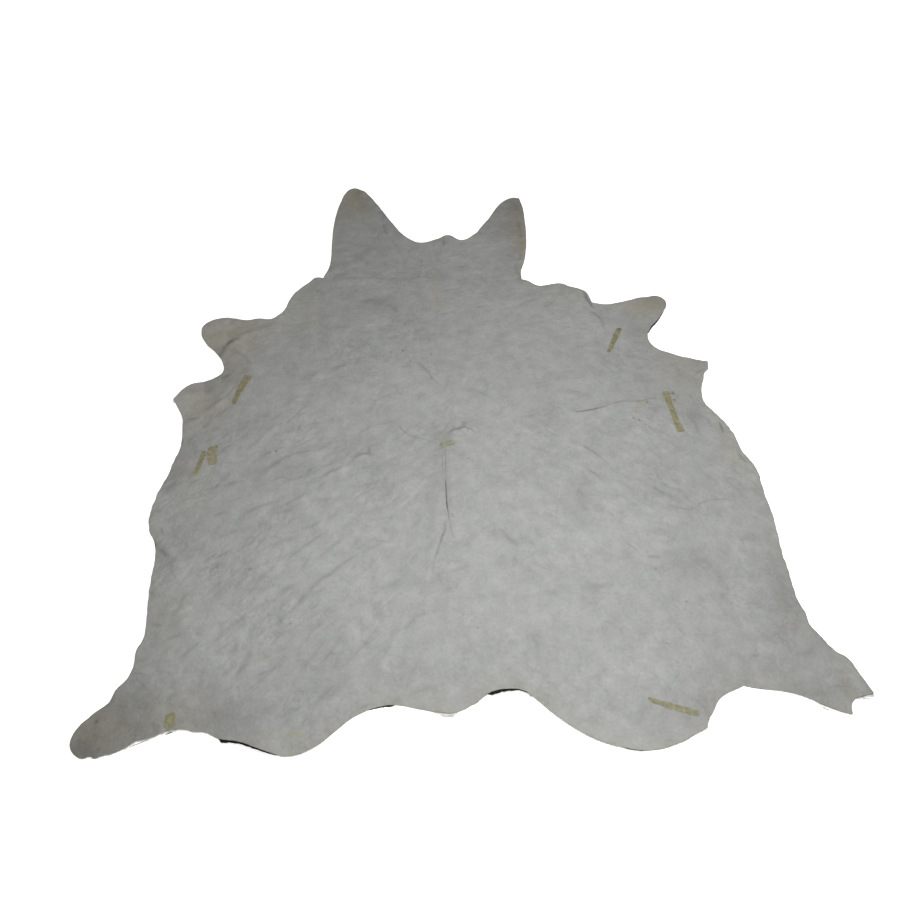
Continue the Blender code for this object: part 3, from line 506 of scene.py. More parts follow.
# Where more hair, or black hair, reaches past the cut edge. Its reach at either end is in mm.
FRINGES = (
    Fringe("left rear lobe", -66.0, -104.3, -51.1, -109.0, 8.5, 1.5, True),
    Fringe("left of the tail", -27.2, -98.9, -20.8, -98.2, 2.5, 6.5, True),
    Fringe("tail notch", 15.5, -98.0, 4.0, -96.7, 3.0, 9.5, True),
    Fringe("right rear lobe, corner", 60.4, -105.6, 59.3, -108.2, 5.0, 3.0, True),
    Fringe("right rear lobe, bottom", 42.6, -113.3, 37.5, -112.3, 1.6, 2.4, True),
    Fringe("right foreleg", 77.0, 36.0, 70.2, 27.2, 3.0, 6.0, True),
    Fringe("right shoulder", 34.0, 52.5, 43.5, 52.8, 2.0, 3.0, True),
    Fringe("right shoulder, corner", 50.3, 49.1, 52.5, 42.7, 2.5, 4.0, True),
    Fringe("right neck", 32.3, 79.0, 31.5, 74.0, 3.0, 2.0, True),
    Fringe("neck notch", 28.3, 62.0, 28.3, 56.5, 2.0, 4.0, True),
    Fringe("tail root", -4.2, -100.7, -11.5, -100.1, 12.0, 3.0, False),
    Fringe("left hock", -77.0, -101.5, -81.0, -102.4, 8.0, 8.0, False),
    Fringe("left hind leg", -83.6, -103.2, -90.5, -105.3, 8.0, 6.0, False),
    Fringe("left hind tip", -93.0, -106.3, -98.0, -107.0, 5.0, 4.0, False),
    Fringe("right hind leg", 97.0, -107.0, 89.0, -103.2, 4.0, 8.0, False),
    Fringe("right hind tip", 104.2, -102.4, 99.6, -103.0, 9.0, 5.0, False),
    Fringe("right flank, front", 87.2, -13.0, 89.2, -21.0, 4.0, 4.0, False),
    Fringe("right flank, rear", 92.0, -29.0, 93.0, -36.0, 4.0, 4.0, False),
    Fringe("left elbow", -94.0, 5.6, -92.2, 10.0, 10.0, 3.0, False),
)

# Thin dark strands along the rim, a little outside it: dark hair and painted shadow. Their width is in
# mm.
WISPS = (
    Wisp("left hind leg", 2.2, ((-89.1, -105.3), (-87.7, -104.6), (-86.3, -104.1), (-84.3, -103.5))),
    Wisp("left hock", 3.0, ((-80.3, -102.6), (-79.3, -102.1), (-78.0, -101.9))),
    Wisp("left hind leg, end", 1.2, ((-98.8, -107.3), (-97.6, -107.4), (-96.2, -107.3))),
    Wisp("right hind leg", 2.1, ((89.9, -104.4), (91.0, -105.2), (92.1, -105.7))),
    Wisp("right hind leg, tick", 1.5, ((87.5, -102.1), (87.7, -103.0))),
    Wisp("right hind tip", 1.6, ((100.9, -103.5), (102.1, -103.5), (103.3, -103.4))),
    Wisp("tail root", 1.9, ((-4.9, -101.9), (-6.3, -101.8), (-7.9, -101.7), (-9.4, -101.4))),
)

# The black patches of a coat that is white between them.
BLACK_PATCHES = (
    Patch("left rear lobe", -58, -107, 8, 5),
    Patch("left thigh", -44, -84, 20, 16),
    Patch("left of the tail", -23, -98, 3, 6),
    Patch("tail notch", 9, -92, 6, 12),
    Patch("right rump", 34, -88, 22, 15),
    Patch("right rear lobe", 60, -105, 3, 6),
    Patch("left flank", -66, -34, 22, 26),
    Patch("left ribs", -42, -18, 16, 14),
    Patch("right flank", 52, -30, 28, 20),
    Patch("right belly", 66, -52, 14, 16),
    Patch("right foreleg", 72, 32, 8, 10),
    Patch("right shoulder", 42, 40, 20, 16),
    Patch("neck", 22, 62, 14, 16),
    Patch("right neck", 28, 76, 8, 10),
    Patch("left shoulder", -40, 30, 18, 14),
)

# Strips of tape, from the middle of one end to the middle of the other, bowed to their left. The
# waist says how much narrower a strip is half way, as a share of its width. Tone is a share of its
# colour, and faded is how far that has gone towards the skin's.
TAPES = (
    Tape("shoulder_left", -69.6, 16.4, -73.9, 4.6, 2.9, 1.3, -0.3, -0.1, 0.92, 0.0),
    Tape("flank_left_short", -78.55, -12.1, -77.85, -19.5, 3.4, 2.9, 0.0, 0.0, 1.0, 0.1),
    Tape("flank_left_long", -80.85, -13.9, -82.9, -22.9, 1.7, 1.6, 0.0, 0.0, 1.0, 0.0),
    Tape("shoulder_right", 60.6, 30.0, 54.7, 18.7, 2.0, 1.1, 0.0, -0.2, 0.86, 0.0),
    Tape("flank_right", 70.7, 0.2, 72.6, -16.3, 2.6, 2.5, -0.1, 0.2, 0.95, 0.0),
    Tape("back", -5.3, -16.4, -0.6, -15.6, 2.4, 2.0, 0.0, 0.0, 0.93, 0.3),
    Tape("rump_right", 45.6, -100.3, 58.1, -104.8, 1.0, 1.5, -0.1, -0.35, 0.96, 0.1),
    Tape("hind_left", -79.25, -97.1, -79.0, -100.9, 2.6, 2.9, 0.0, 0.0, 1.05, 0.0),
)


def length_prop(name, description, default, low, high):
    return FloatProperty(
        name=name, description=description, default=default, min=low, max=high, unit="LENGTH"
    )


def power_prop(name, description, default):
    return FloatProperty(name=name, description=description, default=default, min=0.0)


def color_prop(name, description, default):
    return FloatVectorProperty(
        name=name, description=description, default=default, min=0.0, max=1.0, subtype="COLOR"
    )


class HideSizes(PropertyGroup):
    """The sizes of the hide that a user may change."""

    skin: length_prop("Skin", "Thickness of the skin", 0.0025, 0.001, 0.006)
    pile: length_prop("Hair depth", "Depth of the hair, pressed flat by the hide", 0.0045, 0.001, 0.02)
    net: length_prop("Net", "Distance between the skin's points where it is plain", 0.0078, 0.006, 0.05)
    tape: length_prop("Tape thickness", "Thickness of the repair tape", 0.0006, 0.0002, 0.002)
    seed: IntProperty(
        name="Seed",
        description="Another number makes other wrinkles and other locks of hair",
        default=7,
        min=0,
    )


class HideColors(PropertyGroup):
    """The colours of the hide that a user may change."""

    suede: color_prop("Suede", "The flesh side where it is plain", (0.347, 0.357, 0.346))
    suede_rosy: color_prop("Rosy suede", "The flesh side where it is redder", (0.358, 0.357, 0.350))
    suede_warm: color_prop("Warm suede", "The flesh side at the legs and neck", (0.385, 0.355, 0.285))
    # The crease colour is painted shade at the bottom of creases, in the wrinkles' dips and at the far
    # rims. The stains take it as well.
    crease: color_prop("Crease", "The bottom of a crease", (0.13, 0.125, 0.12))
    cut: color_prop("Cut edge", "The skin where the knife went through", (0.20, 0.19, 0.17))
    hair_white: color_prop("White hair", "The white parts of the coat", (0.86, 0.85, 0.79))
    hair_black: color_prop("Black hair", "The black parts of the coat", (0.016, 0.014, 0.013))
    tape: color_prop("Tape", "The aged cloth of the repair tape", (0.262, 0.250, 0.150))
    tape_rusty: color_prop("Rusty tape", "The tape where it is browner", (0.262, 0.230, 0.138))
    glue: color_prop("Old glue", "Smears that tape has left on the skin", (0.350, 0.340, 0.225))


class HideStudio(PropertyGroup):
    """The light and the floor that a user may change."""

    lamp: power_prop("Lamp", "Power of the lamp over the hide, in watts", 92.0)
    lamp_radius: length_prop("Lamp radius", "A wider lamp has softer shadows", 0.22, 0.01, 2.0)
    sky: power_prop("Sky", "Light from all round, overhead", 0.14)
    horizon: power_prop("Horizon", "Light from all round, low down", 0.9)
    floor_glow: power_prop("Floor glow", "Light of the floor's own, which keeps it white far out", 0.8)


TINY = 1e-12


def bell(part):
    """1 at the middle, 0 from the rim outwards, level at both."""
    return np.cos(np.minimum(part, 1.0) * pi / 2) ** 2


def ramp(value, low, high):
    """0 up to low, 1 from high on, and smooth between them."""
    t = np.clip((value - low) / (high - low), 0, 1)
    return t * t * (3 - 2 * t)


def place(row):
    return np.array((row.across, row.along)) * CM


def ends_of(row):
    return place(row), np.array((row.to_across, row.to_along)) * CM


def away_from(patch, points):
    """How far the points are from the middle of a patch, as a share of its reach."""
    reach = patch.reach_across * CM, patch.reach_along * CM
    return np.linalg.norm((points - place(patch)) / reach, axis=1)


def left_of(directions):
    return np.stack([-directions[..., 1], directions[..., 0]], axis=-1)


def unit(rows):
    return rows / np.maximum(np.linalg.norm(rows, axis=-1, keepdims=True), TINY)


def stray_at(points, stray, start=0.0):
    """Smooth noise to either side of 0. Another start makes another pattern."""
    seed = start + stray.seed
    return stray.reach * np.array([noise.noise((x, y, seed)) for x, y in points / stray.size])


def shifted(points, strays, start=0.0):
    """The points moved a little by two noises, across and along."""
    return points + np.stack([stray_at(points, stray, start) for stray in strays], axis=1)


def turned(points, heading):
    """The points by their distance along a heading and across it."""
    angle = radians(heading)
    axes = np.array([[cos(angle), -sin(angle)], [sin(angle), cos(angle)]])
    return points @ axes


def spaced(line, step):
    """The open line again, with points about step apart."""
    lengths = np.linalg.norm(np.diff(line, axis=0), axis=1)
    far = np.concatenate([[0], np.cumsum(lengths)])
    at = np.linspace(0, far[-1], max(2, round(far[-1] / step) + 1))
    return np.stack([np.interp(at, far, line[:, k]) for k in (0, 1)], axis=1)


def sides_of(line):
    """The direction to the left of an open line, at each of its points."""
    return unit(left_of(np.gradient(line, axis=0)))


# The steps of a smooth line from one of its marks to the next.
MARK_STEPS = 12


def bezier_line(rows, cyclic=False):
    """The points of a smooth curve through the rows' marks, whose corners stay sharp."""
    marks = [Mark(*row) for row in rows]
    curve = bpy.data.curves.new("line", "CURVE")
    curve.dimensions = "2D"
    curve.fill_mode = "NONE"
    curve.resolution_u = MARK_STEPS
    spline = curve.splines.new("BEZIER")
    spline.bezier_points.add(len(marks) - 1)
    spline.use_cyclic_u = cyclic
    for point, mark in zip(spline.bezier_points, marks):
        point.co = (mark.across * CM, mark.along * CM, 0.0)
        point.handle_left_type = mark.turn
        point.handle_right_type = mark.turn
    guide = bpy.data.objects.new("line", curve)
    bpy.context.scene.collection.objects.link(guide)
    graph = bpy.context.evaluated_depsgraph_get()
    mesh = bpy.data.meshes.new_from_object(guide.evaluated_get(graph))
    points = np.array([vertex.co.to_2d() for vertex in mesh.vertices])
    bpy.data.objects.remove(guide)
    bpy.data.curves.remove(curve)
    bpy.data.meshes.remove(mesh)
    return points


# The distance between the points along a fold.
FOLD_STEP = 0.016


def crest_line(fold):
    """Points along a fold's crest."""
    start, end = ends_of(fold)
    run = end - start
    aside = left_of(run / np.linalg.norm(run)) * fold.bow * CM
    t = np.linspace(0, 1, max(3, round(np.linalg.norm(run) / FOLD_STEP)))[:, None]
    return start + run * t + aside * 4 * t * (1 - t)


# The distance between the points of the cut edge, and how near a row inside it may come to another
# stretch of it, as a share of the row's distance.
RIM_STEP = 0.0065
ROW_SHARE = 0.93

# How roughly the edge is cut: everywhere, more at the belly, and more again at its right side.
EVEN_CUT = 0.22
BELLY_CUT = 0.55
RIGHT_CUT = 0.45
BELLY_OUT = (0.74, 0.86)
BELLY_FRONT = (0.02, 0.14)
BELLY_REAR = 1.04
BELLY_BLEND = 0.12
RIGHT_BLEND = 0.1
EDGE_STRAYS = (Stray(0.021, 3.1, 0.0024), Stray(0.0075, 8.3, 0.0010))


class Rim:
    """The cut edge as an even closed line, with which way is outwards and how ragged it is."""

    def __init__(self, inset=0.0, step=RIM_STEP):
        smooth = bezier_line(CUT_EDGE, cyclic=True)
        smooth = spaced(np.vstack([smooth, smooth[:1]]), step)[:-1]
        self.outward = self.normals_of(smooth)
        self.points = smooth + self.outward * (self.fray(smooth) - inset)[:, None]
        self.step = step
        self.tree = KDTree(len(self.points))
        for index, point in enumerate(self.points):
            self.tree.insert((*point, 0.0), index)
        self.tree.balance()

    @staticmethod
    def normals_of(line):
        return unit(left_of(np.roll(line, -1, axis=0) - np.roll(line, 1, axis=0)))

    @staticmethod
    def raggedness(points):
        """How rough the edge is cut: most at the belly."""
        x, y = points.T
        belly = ramp(abs(x), *BELLY_OUT) * ramp(-y, *BELLY_FRONT)
        belly *= ramp(BELLY_REAR + y, 0.0, BELLY_BLEND)
        return EVEN_CUT + belly * (BELLY_CUT + RIGHT_CUT * ramp(x, 0.0, RIGHT_BLEND))

    def fray(self, points):
        """How far the edge strays outwards from its smooth line."""
        return sum(stray_at(points, stray) for stray in EDGE_STRAYS) * self.raggedness(points)

    def facing(self):
        """How squarely the edge faces the way that its hair lies, from 0 to 1."""
        return np.clip(np.sum(self.outward * lay_at(self.points), axis=1), 0, 1)

    def nearest(self, points):
        """For each point the index of the nearest point of the edge, and the distance to it."""
        found = [self.tree.find((x, y, 0.0)) for x, y in points]
        return np.array([hit[1] for hit in found]), np.array([hit[2] for hit in found])

    def inner_row(self, distance):
        """The edge moved inwards, without the points that come too near another stretch of it."""
        row = self.points - self.outward * distance
        _, far = self.nearest(row)
        return row[far > distance * ROW_SHARE]

    def stretch(self, row):
        """The indices of the edge's points from a row's first end to its second, the short way."""
        start, end = (self.nearest([point])[0][0] for point in ends_of(row))
        count = len(self.points)
        ahead = (end - start) % count
        if ahead <= count / 2:
            return (start + np.arange(ahead + 1)) % count
        return (start - np.arange(count - ahead + 1)) % count


# A fold's left side, seen from its first end, is this much narrower than its right side.
STEEP_SIDE = 0.6
FOLD_STRAYS = (Stray(0.07, 21.5, 0.006), Stray(0.07, 47.5, 0.006))


def fold_rise(fold, points):
    start, end = ends_of(fold)
    run = end - start
    length = np.linalg.norm(run)
    t = (points - start) @ run / length**2
    within = np.clip(t, 0, 1)
    bow = fold.bow * CM * 4 * within * (1 - within)
    aside = (points - start) @ left_of(run / length) - bow
    reach = fold.reach * CM * np.where(aside > 0, STEEP_SIDE, 1.0)
    return fold.rise * CM * bell(abs(aside) / reach) * np.sqrt(np.sin(pi * within))


def swell_rise(swell, points):
    far = np.linalg.norm(points - place(swell), axis=1)
    return swell.rise * CM * bell(far / (swell.reach * CM))


def lift_at(points):
    """How high the hide's underside lies over the surface. No fold is as straight as its row says."""
    moved = shifted(points, FOLD_STRAYS)
    folded = np.max([fold_rise(fold, moved) for fold in FOLDS], axis=0)
    return folded + sum(swell_rise(swell, points) for swell in SWELLS)


def ripple_at(points):
    """How far the waves raise the hide's upper side, or lower it."""
    total = np.zeros(len(points))
    for wave in RIPPLES:
        along = turned(points, wave.heading)[:, 0]
        total += wave.rise * CM * np.sin(2 * pi * along / (wave.length * CM))
    return total


# Where each kind of grain gives way to the next: behind the shoulders, and at the spine.
SHOULDERS_AT = 0.16
SHOULDERS_BLEND = 0.3
SPINE_LAP = 0.02
SPINE_BLEND = 0.2


def shares_at(points):
    """How much of each row of GRAINS a point has."""
    x, y = points.T
    rear = ramp(SHOULDERS_AT - y, 0.0, SHOULDERS_BLEND)
    left = rear * ramp(-x, 0.0, SPINE_BLEND)
    right = rear * ramp(x, -SPINE_LAP, SPINE_BLEND)
    return left, right, 1 - np.maximum(left, right)


# The noises of the grain, by the size of a wrinkle. It is stronger in some places than in others.
GRAIN_SEED_STEP = 10.3
GRAIN_BENDS = (Stray(0.8, 3.3, 0.6), Stray(0.8, 7.7, 0.6))
GRAIN_PUFFS = Stray(1.0, 0.0, 1.0)
GRAIN_FINE_PUFFS = Stray(0.45, 5.1, 0.4)
GRAIN_LEVEL = 0.2
GRAIN_SWING = Stray(0.17, 1.7, 1.1)
GRAIN_EVEN = 0.75
GRAIN_STRENGTHS = (0.2, 1.5)
DIP_WIDTH = 0.06


def wrinkle_at(points, seed):
    """How high the fine wrinkles rise, each kind in its own part of the hide, and where they dip."""
    total = np.zeros(len(points))
    dips = np.zeros(len(points))
    for number, (grain, share) in enumerate(zip(GRAINS, shares_at(points))):
        start = seed + GRAIN_SEED_STEP * number
        spots = turned(points, grain.heading) / (grain.long * CM, grain.short * CM)
        spots = shifted(spots, GRAIN_BENDS, start)
        puffs = abs(stray_at(spots, GRAIN_PUFFS, start))
        fine = abs(stray_at(spots, GRAIN_FINE_PUFFS, start))
        rough = np.clip(GRAIN_EVEN + stray_at(points, GRAIN_SWING, start), *GRAIN_STRENGTHS)
        total += share * rough * grain.rise * MM * (puffs + fine - GRAIN_LEVEL)
        dips += share * rough * np.exp(-((puffs / DIP_WIDTH) ** 2))
    return total, dips


# How far a crease strays, by its width, and the distance between its points.
CREASE_WAVER = 0.5
CREASE_STRAYS = (Stray(0.024, 17.7, 1.0), Stray(0.009, 29.3, 0.4))
CREASE_STEP = 0.007


def wavering(line, width):
    """The line again, straying to either side as a crease in skin does: a wide one strays more."""
    stray = sum(stray_at(line, stray) for stray in CREASE_STRAYS)
    return line + sides_of(line) * stray[:, None] * CREASE_WAVER * width * MM


def line_of(crease):
    return wavering(spaced(bezier_line(crease.marks), CREASE_STEP), crease.width)


def bent_line(start, angle, length, bend):
    """A line from a start along an angle, which turns by bend on its way."""
    steps = max(3, round(length / CREASE_STEP))
    angles = angle + bend * np.linspace(0, 1, steps)
    moves = np.stack([np.cos(angles), np.sin(angles)], axis=1) * length / steps
    return start + np.cumsum(moves, axis=0)


# One branch for each stretch of a crease, and between which sizes. Its depth and its painted shade
# are shares of the crease's, and it bends back by a share of its turn.
BRANCH_EVERY = 0.1
BRANCH_WIDTH = 3.6
BRANCH_SHARES = (0.25, 0.5)
BRANCH_TURNS = (0.35, 0.8)
BRANCH_LENGTHS = (0.012, 0.036)
BRANCH_BEND = -0.6


def branches_of(crease, line, random):
    """Short grooves that leave a crease at a slant."""
    reach = np.linalg.norm(np.diff(line, axis=0), axis=1).sum()
    found = []
    for _ in range(round(reach / BRANCH_EVERY)):
        at = random.integers(1, len(line) - 1)
        run = line[at + 1] - line[at - 1]
        turn = random.uniform(*BRANCH_TURNS) * random.choice((-1, 1))
        angle = np.arctan2(run[1], run[0]) + turn + pi * random.integers(2)
        branch = bent_line(line[at], angle, random.uniform(*BRANCH_LENGTHS), turn * BRANCH_BEND)
        share = random.uniform(*BRANCH_SHARES)
        width = min(crease.width, BRANCH_WIDTH)
        found.append(Groove(width, crease.depth * share, crease.dark * share, branch))
    return found


# Where the short grooves are strewn, and between which sizes. Widths and depths are in mm.
GROOVE_BOX = np.array(((-0.9, -1.0), (0.9, 0.7)))
GROOVE_TRIES = 4
GROOVE_CHANCES = (0.3, 0.9)
GROOVE_TURN = 0.22
GROOVE_BEND = 0.5
GROOVE_LENGTHS = (0.03, 0.15)
GROOVE_WIDTHS = (3.0, 6.5)
GROOVE_DEPTHS = (0.4, 1.3)
# The shade painted into a short groove, for each mm of its depth.
GROOVE_PAINTED_SHADE = 0.22


def short_grooves(random):
    """Small wrinkles strewn over the hide, each along the grain where it lies."""
    found = []
    for number, grain in enumerate(GRAINS):
        spots = random.uniform(*GROOVE_BOX, (grain.grooves * GROOVE_TRIES, 2))
        spots = spots[shares_at(spots)[number] > random.uniform(*GROOVE_CHANCES, len(spots))]
        for spot in spots[: grain.grooves]:
            angle = radians(grain.heading) + random.normal(0, GROOVE_TURN)
            length, bend = random.uniform(*GROOVE_LENGTHS), random.normal(0, GROOVE_BEND)
            width, depth = random.uniform(*GROOVE_WIDTHS), random.uniform(*GROOVE_DEPTHS)
            line = wavering(bent_line(spot, angle, length, bend), width)
            found.append(Groove(width, depth, depth * GROOVE_PAINTED_SHADE * grain.puff, line))
    return found


def grooves(seed):
    """All the creases as lines: those of the table with their branches, and the small wrinkles."""
    random = np.random.default_rng(seed)
    found = []
    for crease in CREASES:
        line = line_of(crease)
        found.append(Groove(crease.width, crease.depth, crease.dark, line))
        found.extend(branches_of(crease, line, random))
    return found + short_grooves(random)


def gap_to_line(points, line):
    """For each point its distance to the line, and how far along the line that is, from 0 to 1."""
    best = np.full(len(points), np.inf)
    share = np.zeros(len(points))
    for number, (start, end) in enumerate(zip(line, line[1:])):
        run = end - start
        t = np.clip((points - start) @ run / (run @ run), 0, 1)
        gap = np.linalg.norm(points - start - t[:, None] * run, axis=1)
        nearer = gap < best
        best = np.where(nearer, gap, best)
        share = np.where(nearer, (number + t) / (len(line) - 1), share)
    return best, share


# How far from a crease it still counts, and the low lips at its sides, by its width and its depth.
CREASE_REACH = 6
LIP_AT = 2.6
LIP_WIDTH = 1.5
LIP_SHARE = 0.35

# A crease is stronger in some places than in others.
CREASE_SWING = Stray(0.026, 13.7, 0.8)
CREASE_EVEN = 1.1
CREASE_STRENGTHS = (0.3, 1.7)


def creased(points, lines):
    """How deep the grooves are at the points, and how much shade is painted into them."""
    depth = np.zeros(len(points))
    dark = np.zeros(len(points))
    for groove in lines:
        line = groove.line
        width = groove.width * MM
        reach = width * CREASE_REACH
        near = np.all((points > line.min(0) - reach) & (points < line.max(0) + reach), axis=1)
        gap, share = gap_to_line(points[near], line)
        swing = CREASE_EVEN + stray_at(points[near], CREASE_SWING)
        strength = np.clip(np.sin(pi * share), 0, 1) ** 0.5 * np.clip(swing, *CREASE_STRENGTHS)
        valley = np.exp(-((gap / width) ** 2))
        lip = np.exp(-(((gap - LIP_AT * width) / (LIP_WIDTH * width)) ** 2))
        depth[near] = np.maximum(depth[near], groove.depth * MM * strength * valley)
        depth[near] -= groove.depth * MM * strength * LIP_SHARE * lip
        dark[near] = np.maximum(dark[near], groove.dark * strength * valley)
    return depth, dark


RIM_WRINKLE = Stray(0.013, 61.7, 1.0)
RIM_WRINKLE_RISE = 0.0011
RIM_WRINKLE_REACH = 0.022


def rim_wrinkle_at(rim, index, distance):
    """Short wrinkles that run in from the cut edge, square to it."""
    along = np.stack([index * rim.step, np.zeros(len(index))], axis=1)
    rough = rim.raggedness(rim.points)[index]
    rise = stray_at(along, RIM_WRINKLE) * rough * RIM_WRINKLE_RISE
    return rise * np.exp(-((distance / RIM_WRINKLE_REACH) ** 2))


LEAST_RELIEF = 0.0012


def held_up(relief):
    """The relief with its dips made shallower, so that none of them reaches through the skin."""
    dip = LEAST_RELIEF * np.tanh(np.minimum(relief, 0) / LEAST_RELIEF)
    return np.where(relief < 0, dip, relief)


# How near points may lie, as a share of the distance between them, what counts as one point, and
# the size of the cells in which points are looked up.
CLEAR_SHARE = 0.6
SAME_POINT = 1e-6
CELL = 0.012


class Layout:
    """The points and lines that a mesh has to go through, with none too close to another."""

    def __init__(self, rim):
        self.rim = rim
        self.points = []
        self.lines = []
        self.cells = {}
        for point in rim.points:
            self.put(point)
        self.outline = list(range(len(rim.points)))

    def put(self, point):
        x, y = float(point[0]), float(point[1])
        cell = floor(x / CELL), floor(y / CELL)
        self.cells.setdefault(cell, []).append((x, y))
        self.points.append(Vector((x, y)))
        return len(self.points) - 1

    def is_clear(self, point, gap):
        x, y = float(point[0]), float(point[1])
        column, row = floor(x / CELL), floor(y / CELL)
        reach = ceil(gap / CELL)
        span = range(-reach, reach + 1)
        return all(
            (x - px) ** 2 + (y - py) ** 2 >= gap * gap
            for dx in span
            for dy in span
            for px, py in self.cells.get((column + dx, row + dy), ())
        )

    def add(self, points, gap, joined=False):
        placed = [self.put(point) for point in points if self.is_clear(point, gap)]
        if joined:
            self.lines.extend(zip(placed, placed[1:]))

    def add_near(self, points, gap, low, joined=False):
        """Adds those of the points that are inside the edge by more than low."""
        index, far = self.rim.nearest(points)
        inward = -np.sum((points - self.rim.points[index]) * self.rim.outward[index], axis=1)
        self.add(points[(inward > 0) & (far > low)], gap, joined)

    def add_net(self, low, high, step, clear):
        """An even triangular net over a rectangle."""
        row_step = step * sqrt(3) / 2
        rows = np.arange(ceil(low[1] / row_step), ceil(high[1] / row_step))
        columns = np.arange(ceil(low[0] / step), ceil(high[0] / step))
        x, y = np.meshgrid(columns * step, rows * row_step)
        x = x + (rows % 2)[:, None] * step / 2
        self.add_near(np.stack([x.ravel(), y.ravel()], axis=1), step * CLEAR_SHARE, clear)

    def add_plain(self, net):
        """Points along the crests of the folds, and an even net over the rest."""
        for fold in FOLDS:
            self.add_near(crest_line(fold), net * CLEAR_SHARE, net / 2)
        self.add_net(self.rim.points.min(0), self.rim.points.max(0), net, net / 2)

    def triangles(self):
        """The points inside the edge, those of the edge first, and the triangles between them."""
        points, _, faces, *_ = delaunay_2d_cdt(
            self.points, self.lines, [self.outline], 1, SAME_POINT
        )
        points = np.array([tuple(point) for point in points])
        faces = np.array([tuple(face) for face in faces])
        if np.abs(points[: len(self.outline)] - self.rim.points).max() > SAME_POINT:
            raise RuntimeError("the cut edge's points came back in another order")
        used, faces = np.unique(faces, return_inverse=True)
        faces = faces.reshape(-1, 3)
        if used[len(self.outline) - 1] != len(self.outline) - 1:
            raise RuntimeError("the cut edge lost a point")
        points = points[used]
        a, b, c = (points[faces[:, k]] for k in range(3))
        turn = (b - a)[:, 0] * (c - a)[:, 1] - (b - a)[:, 1] * (c - a)[:, 0]
        faces[turn < 0] = faces[turn < 0][:, ::-1]
        return points, faces


def tape_box(tape):
    start, end = ends_of(tape)
    margin = max(tape.width, tape.to_width) * CM
    return np.minimum(start, end) - margin, np.maximum(start, end) + margin


# The rows of points inside the cut edge, and those beside a crease by its width.
RIM_ROWS = (0.003, 0.008, 0.014, 0.021)
CREASE_ROWS = (1.0, 2.3)

# The points over a stain: how many in a ring, how near they may lie, and how far inside the edge.
STAIN_POINTS = 8
STAIN_CLEAR = 0.25
STAIN_INSIDE = 0.3

# The nets under a strip of tape, and under the skin.
TAPE_NET = 0.006
UNDER_NET = 0.021


def skin_layout(rim, lines, net):
    """The skin's points: along its rim, its creases, its spots and its folds, then a net."""
    layout = Layout(rim)
    for distance in RIM_ROWS:
        layout.add(rim.inner_row(distance), distance * CLEAR_SHARE)
    for groove in lines:
        width = groove.width * MM
        layout.add_near(groove.line, width, width, True)
        aside = sides_of(groove.line)
        for row in CREASE_ROWS:
            for side in (row, -row):
                beside = groove.line + aside * side * width
                layout.add_near(beside, width * CLEAR_SHARE, width)
    turns = np.linspace(0, 2 * pi, STAIN_POINTS, endpoint=False)
    ring = np.stack([np.cos(turns), np.sin(turns)], axis=1)
    dots = np.vstack([np.zeros((1, 2)), ring / 2, ring])
    for stain in STAINS:
        reach = stain.reach * CM
        layout.add_near(place(stain) + dots * reach, reach * STAIN_CLEAR, reach * STAIN_INSIDE)
    for tape in TAPES:
        layout.add_net(*tape_box(tape), TAPE_NET, TAPE_NET)
    layout.add_plain(net)
    return layout


def under_layout(rim):
    """The points of a coarser net, for what lies under the skin."""
    layout = Layout(rim)
    layout.add_plain(UNDER_NET)
    return layout


def side_faces(upper, lower):
    """Quads from one ring of points to the ring below it, both clockwise."""
    after_upper, after_lower = np.roll(upper, -1), np.roll(lower, -1)
    return np.stack([upper, after_upper, after_lower, lower], axis=1).tolist()


def closed_sheet(upper, upper_faces, lower, lower_faces, ring):
    """The points and faces of a sheet whose two sides meet in a ring half way down its edge."""
    edge = np.arange(len(ring))
    below, beside = len(upper), len(upper) + len(lower)
    faces = upper_faces.tolist() + (lower_faces[:, ::-1] + below).tolist()
    faces += side_faces(edge, edge + beside) + side_faces(edge + beside, edge + below)
    return np.vstack([upper, lower, ring]), faces


SHARP_ANGLE = 50.0


def new_piece(name, points, faces, material):
    """A smooth mesh object, in the row frame, that rides on the hide's body."""
    data = bpy.data.meshes.new(name)
    data.from_pydata(np.asarray(points).tolist(), [], faces)
    data.materials.append(material)
    data.shade_smooth()
    data.set_sharp_from_angle(angle=radians(SHARP_ANGLE))
    obj = bpy.data.objects.new(name, data)
    bpy.context.scene.collection.objects.link(obj)
    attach(obj, "root")
    return obj


def set_attribute(obj, name, values):
    attribute = obj.data.attributes.new(name, "FLOAT", "POINT")
    attribute.data.foreach_set("value", np.asarray(values, dtype=np.float32))


# How ragged the rims of the blotches and the stains are.
BLOTCH_RIM = Stray(0.09, 5.3, 0.35)
STAIN_RIM = Stray(0.009, 44.1, 0.8)

# How yellow the skin is near its cut edge, and how much shade is painted on it there. The painted
# shade lies only where the edge turns away from the light.
RIM_WARMTH = 0.22
RIM_WARMTH_REACH = 0.035
RIM_PAINTED_SHADE = 0.16
RIM_PAINTED_SHADE_REACH = 0.0045
RIM_PAINTED_SHADE_TURN = (-0.5, 0.3)


def tone_at(points):
    """The broad lights and darks of the skin, around 1."""
    total = np.ones(len(points))
    ragged = 1 + stray_at(points, BLOTCH_RIM)
    for blotch in BLOTCHES:
        total += blotch.tone * bell(away_from(blotch, points) * ragged)
    return total


def warmth_at(points, distance):
    """How yellow the skin is, from 0 to 1: most at its legs and neck, and along its rim."""
    warm = RIM_WARMTH * np.exp(-distance / RIM_WARMTH_REACH)
    for blotch in BLOTCHES:
        warm = np.maximum(warm, blotch.warm * bell(away_from(blotch, points)))
    return warm


def pebbles_at(points):
    return np.max([bell(away_from(patch, points)) for patch in PEBBLES], axis=0)


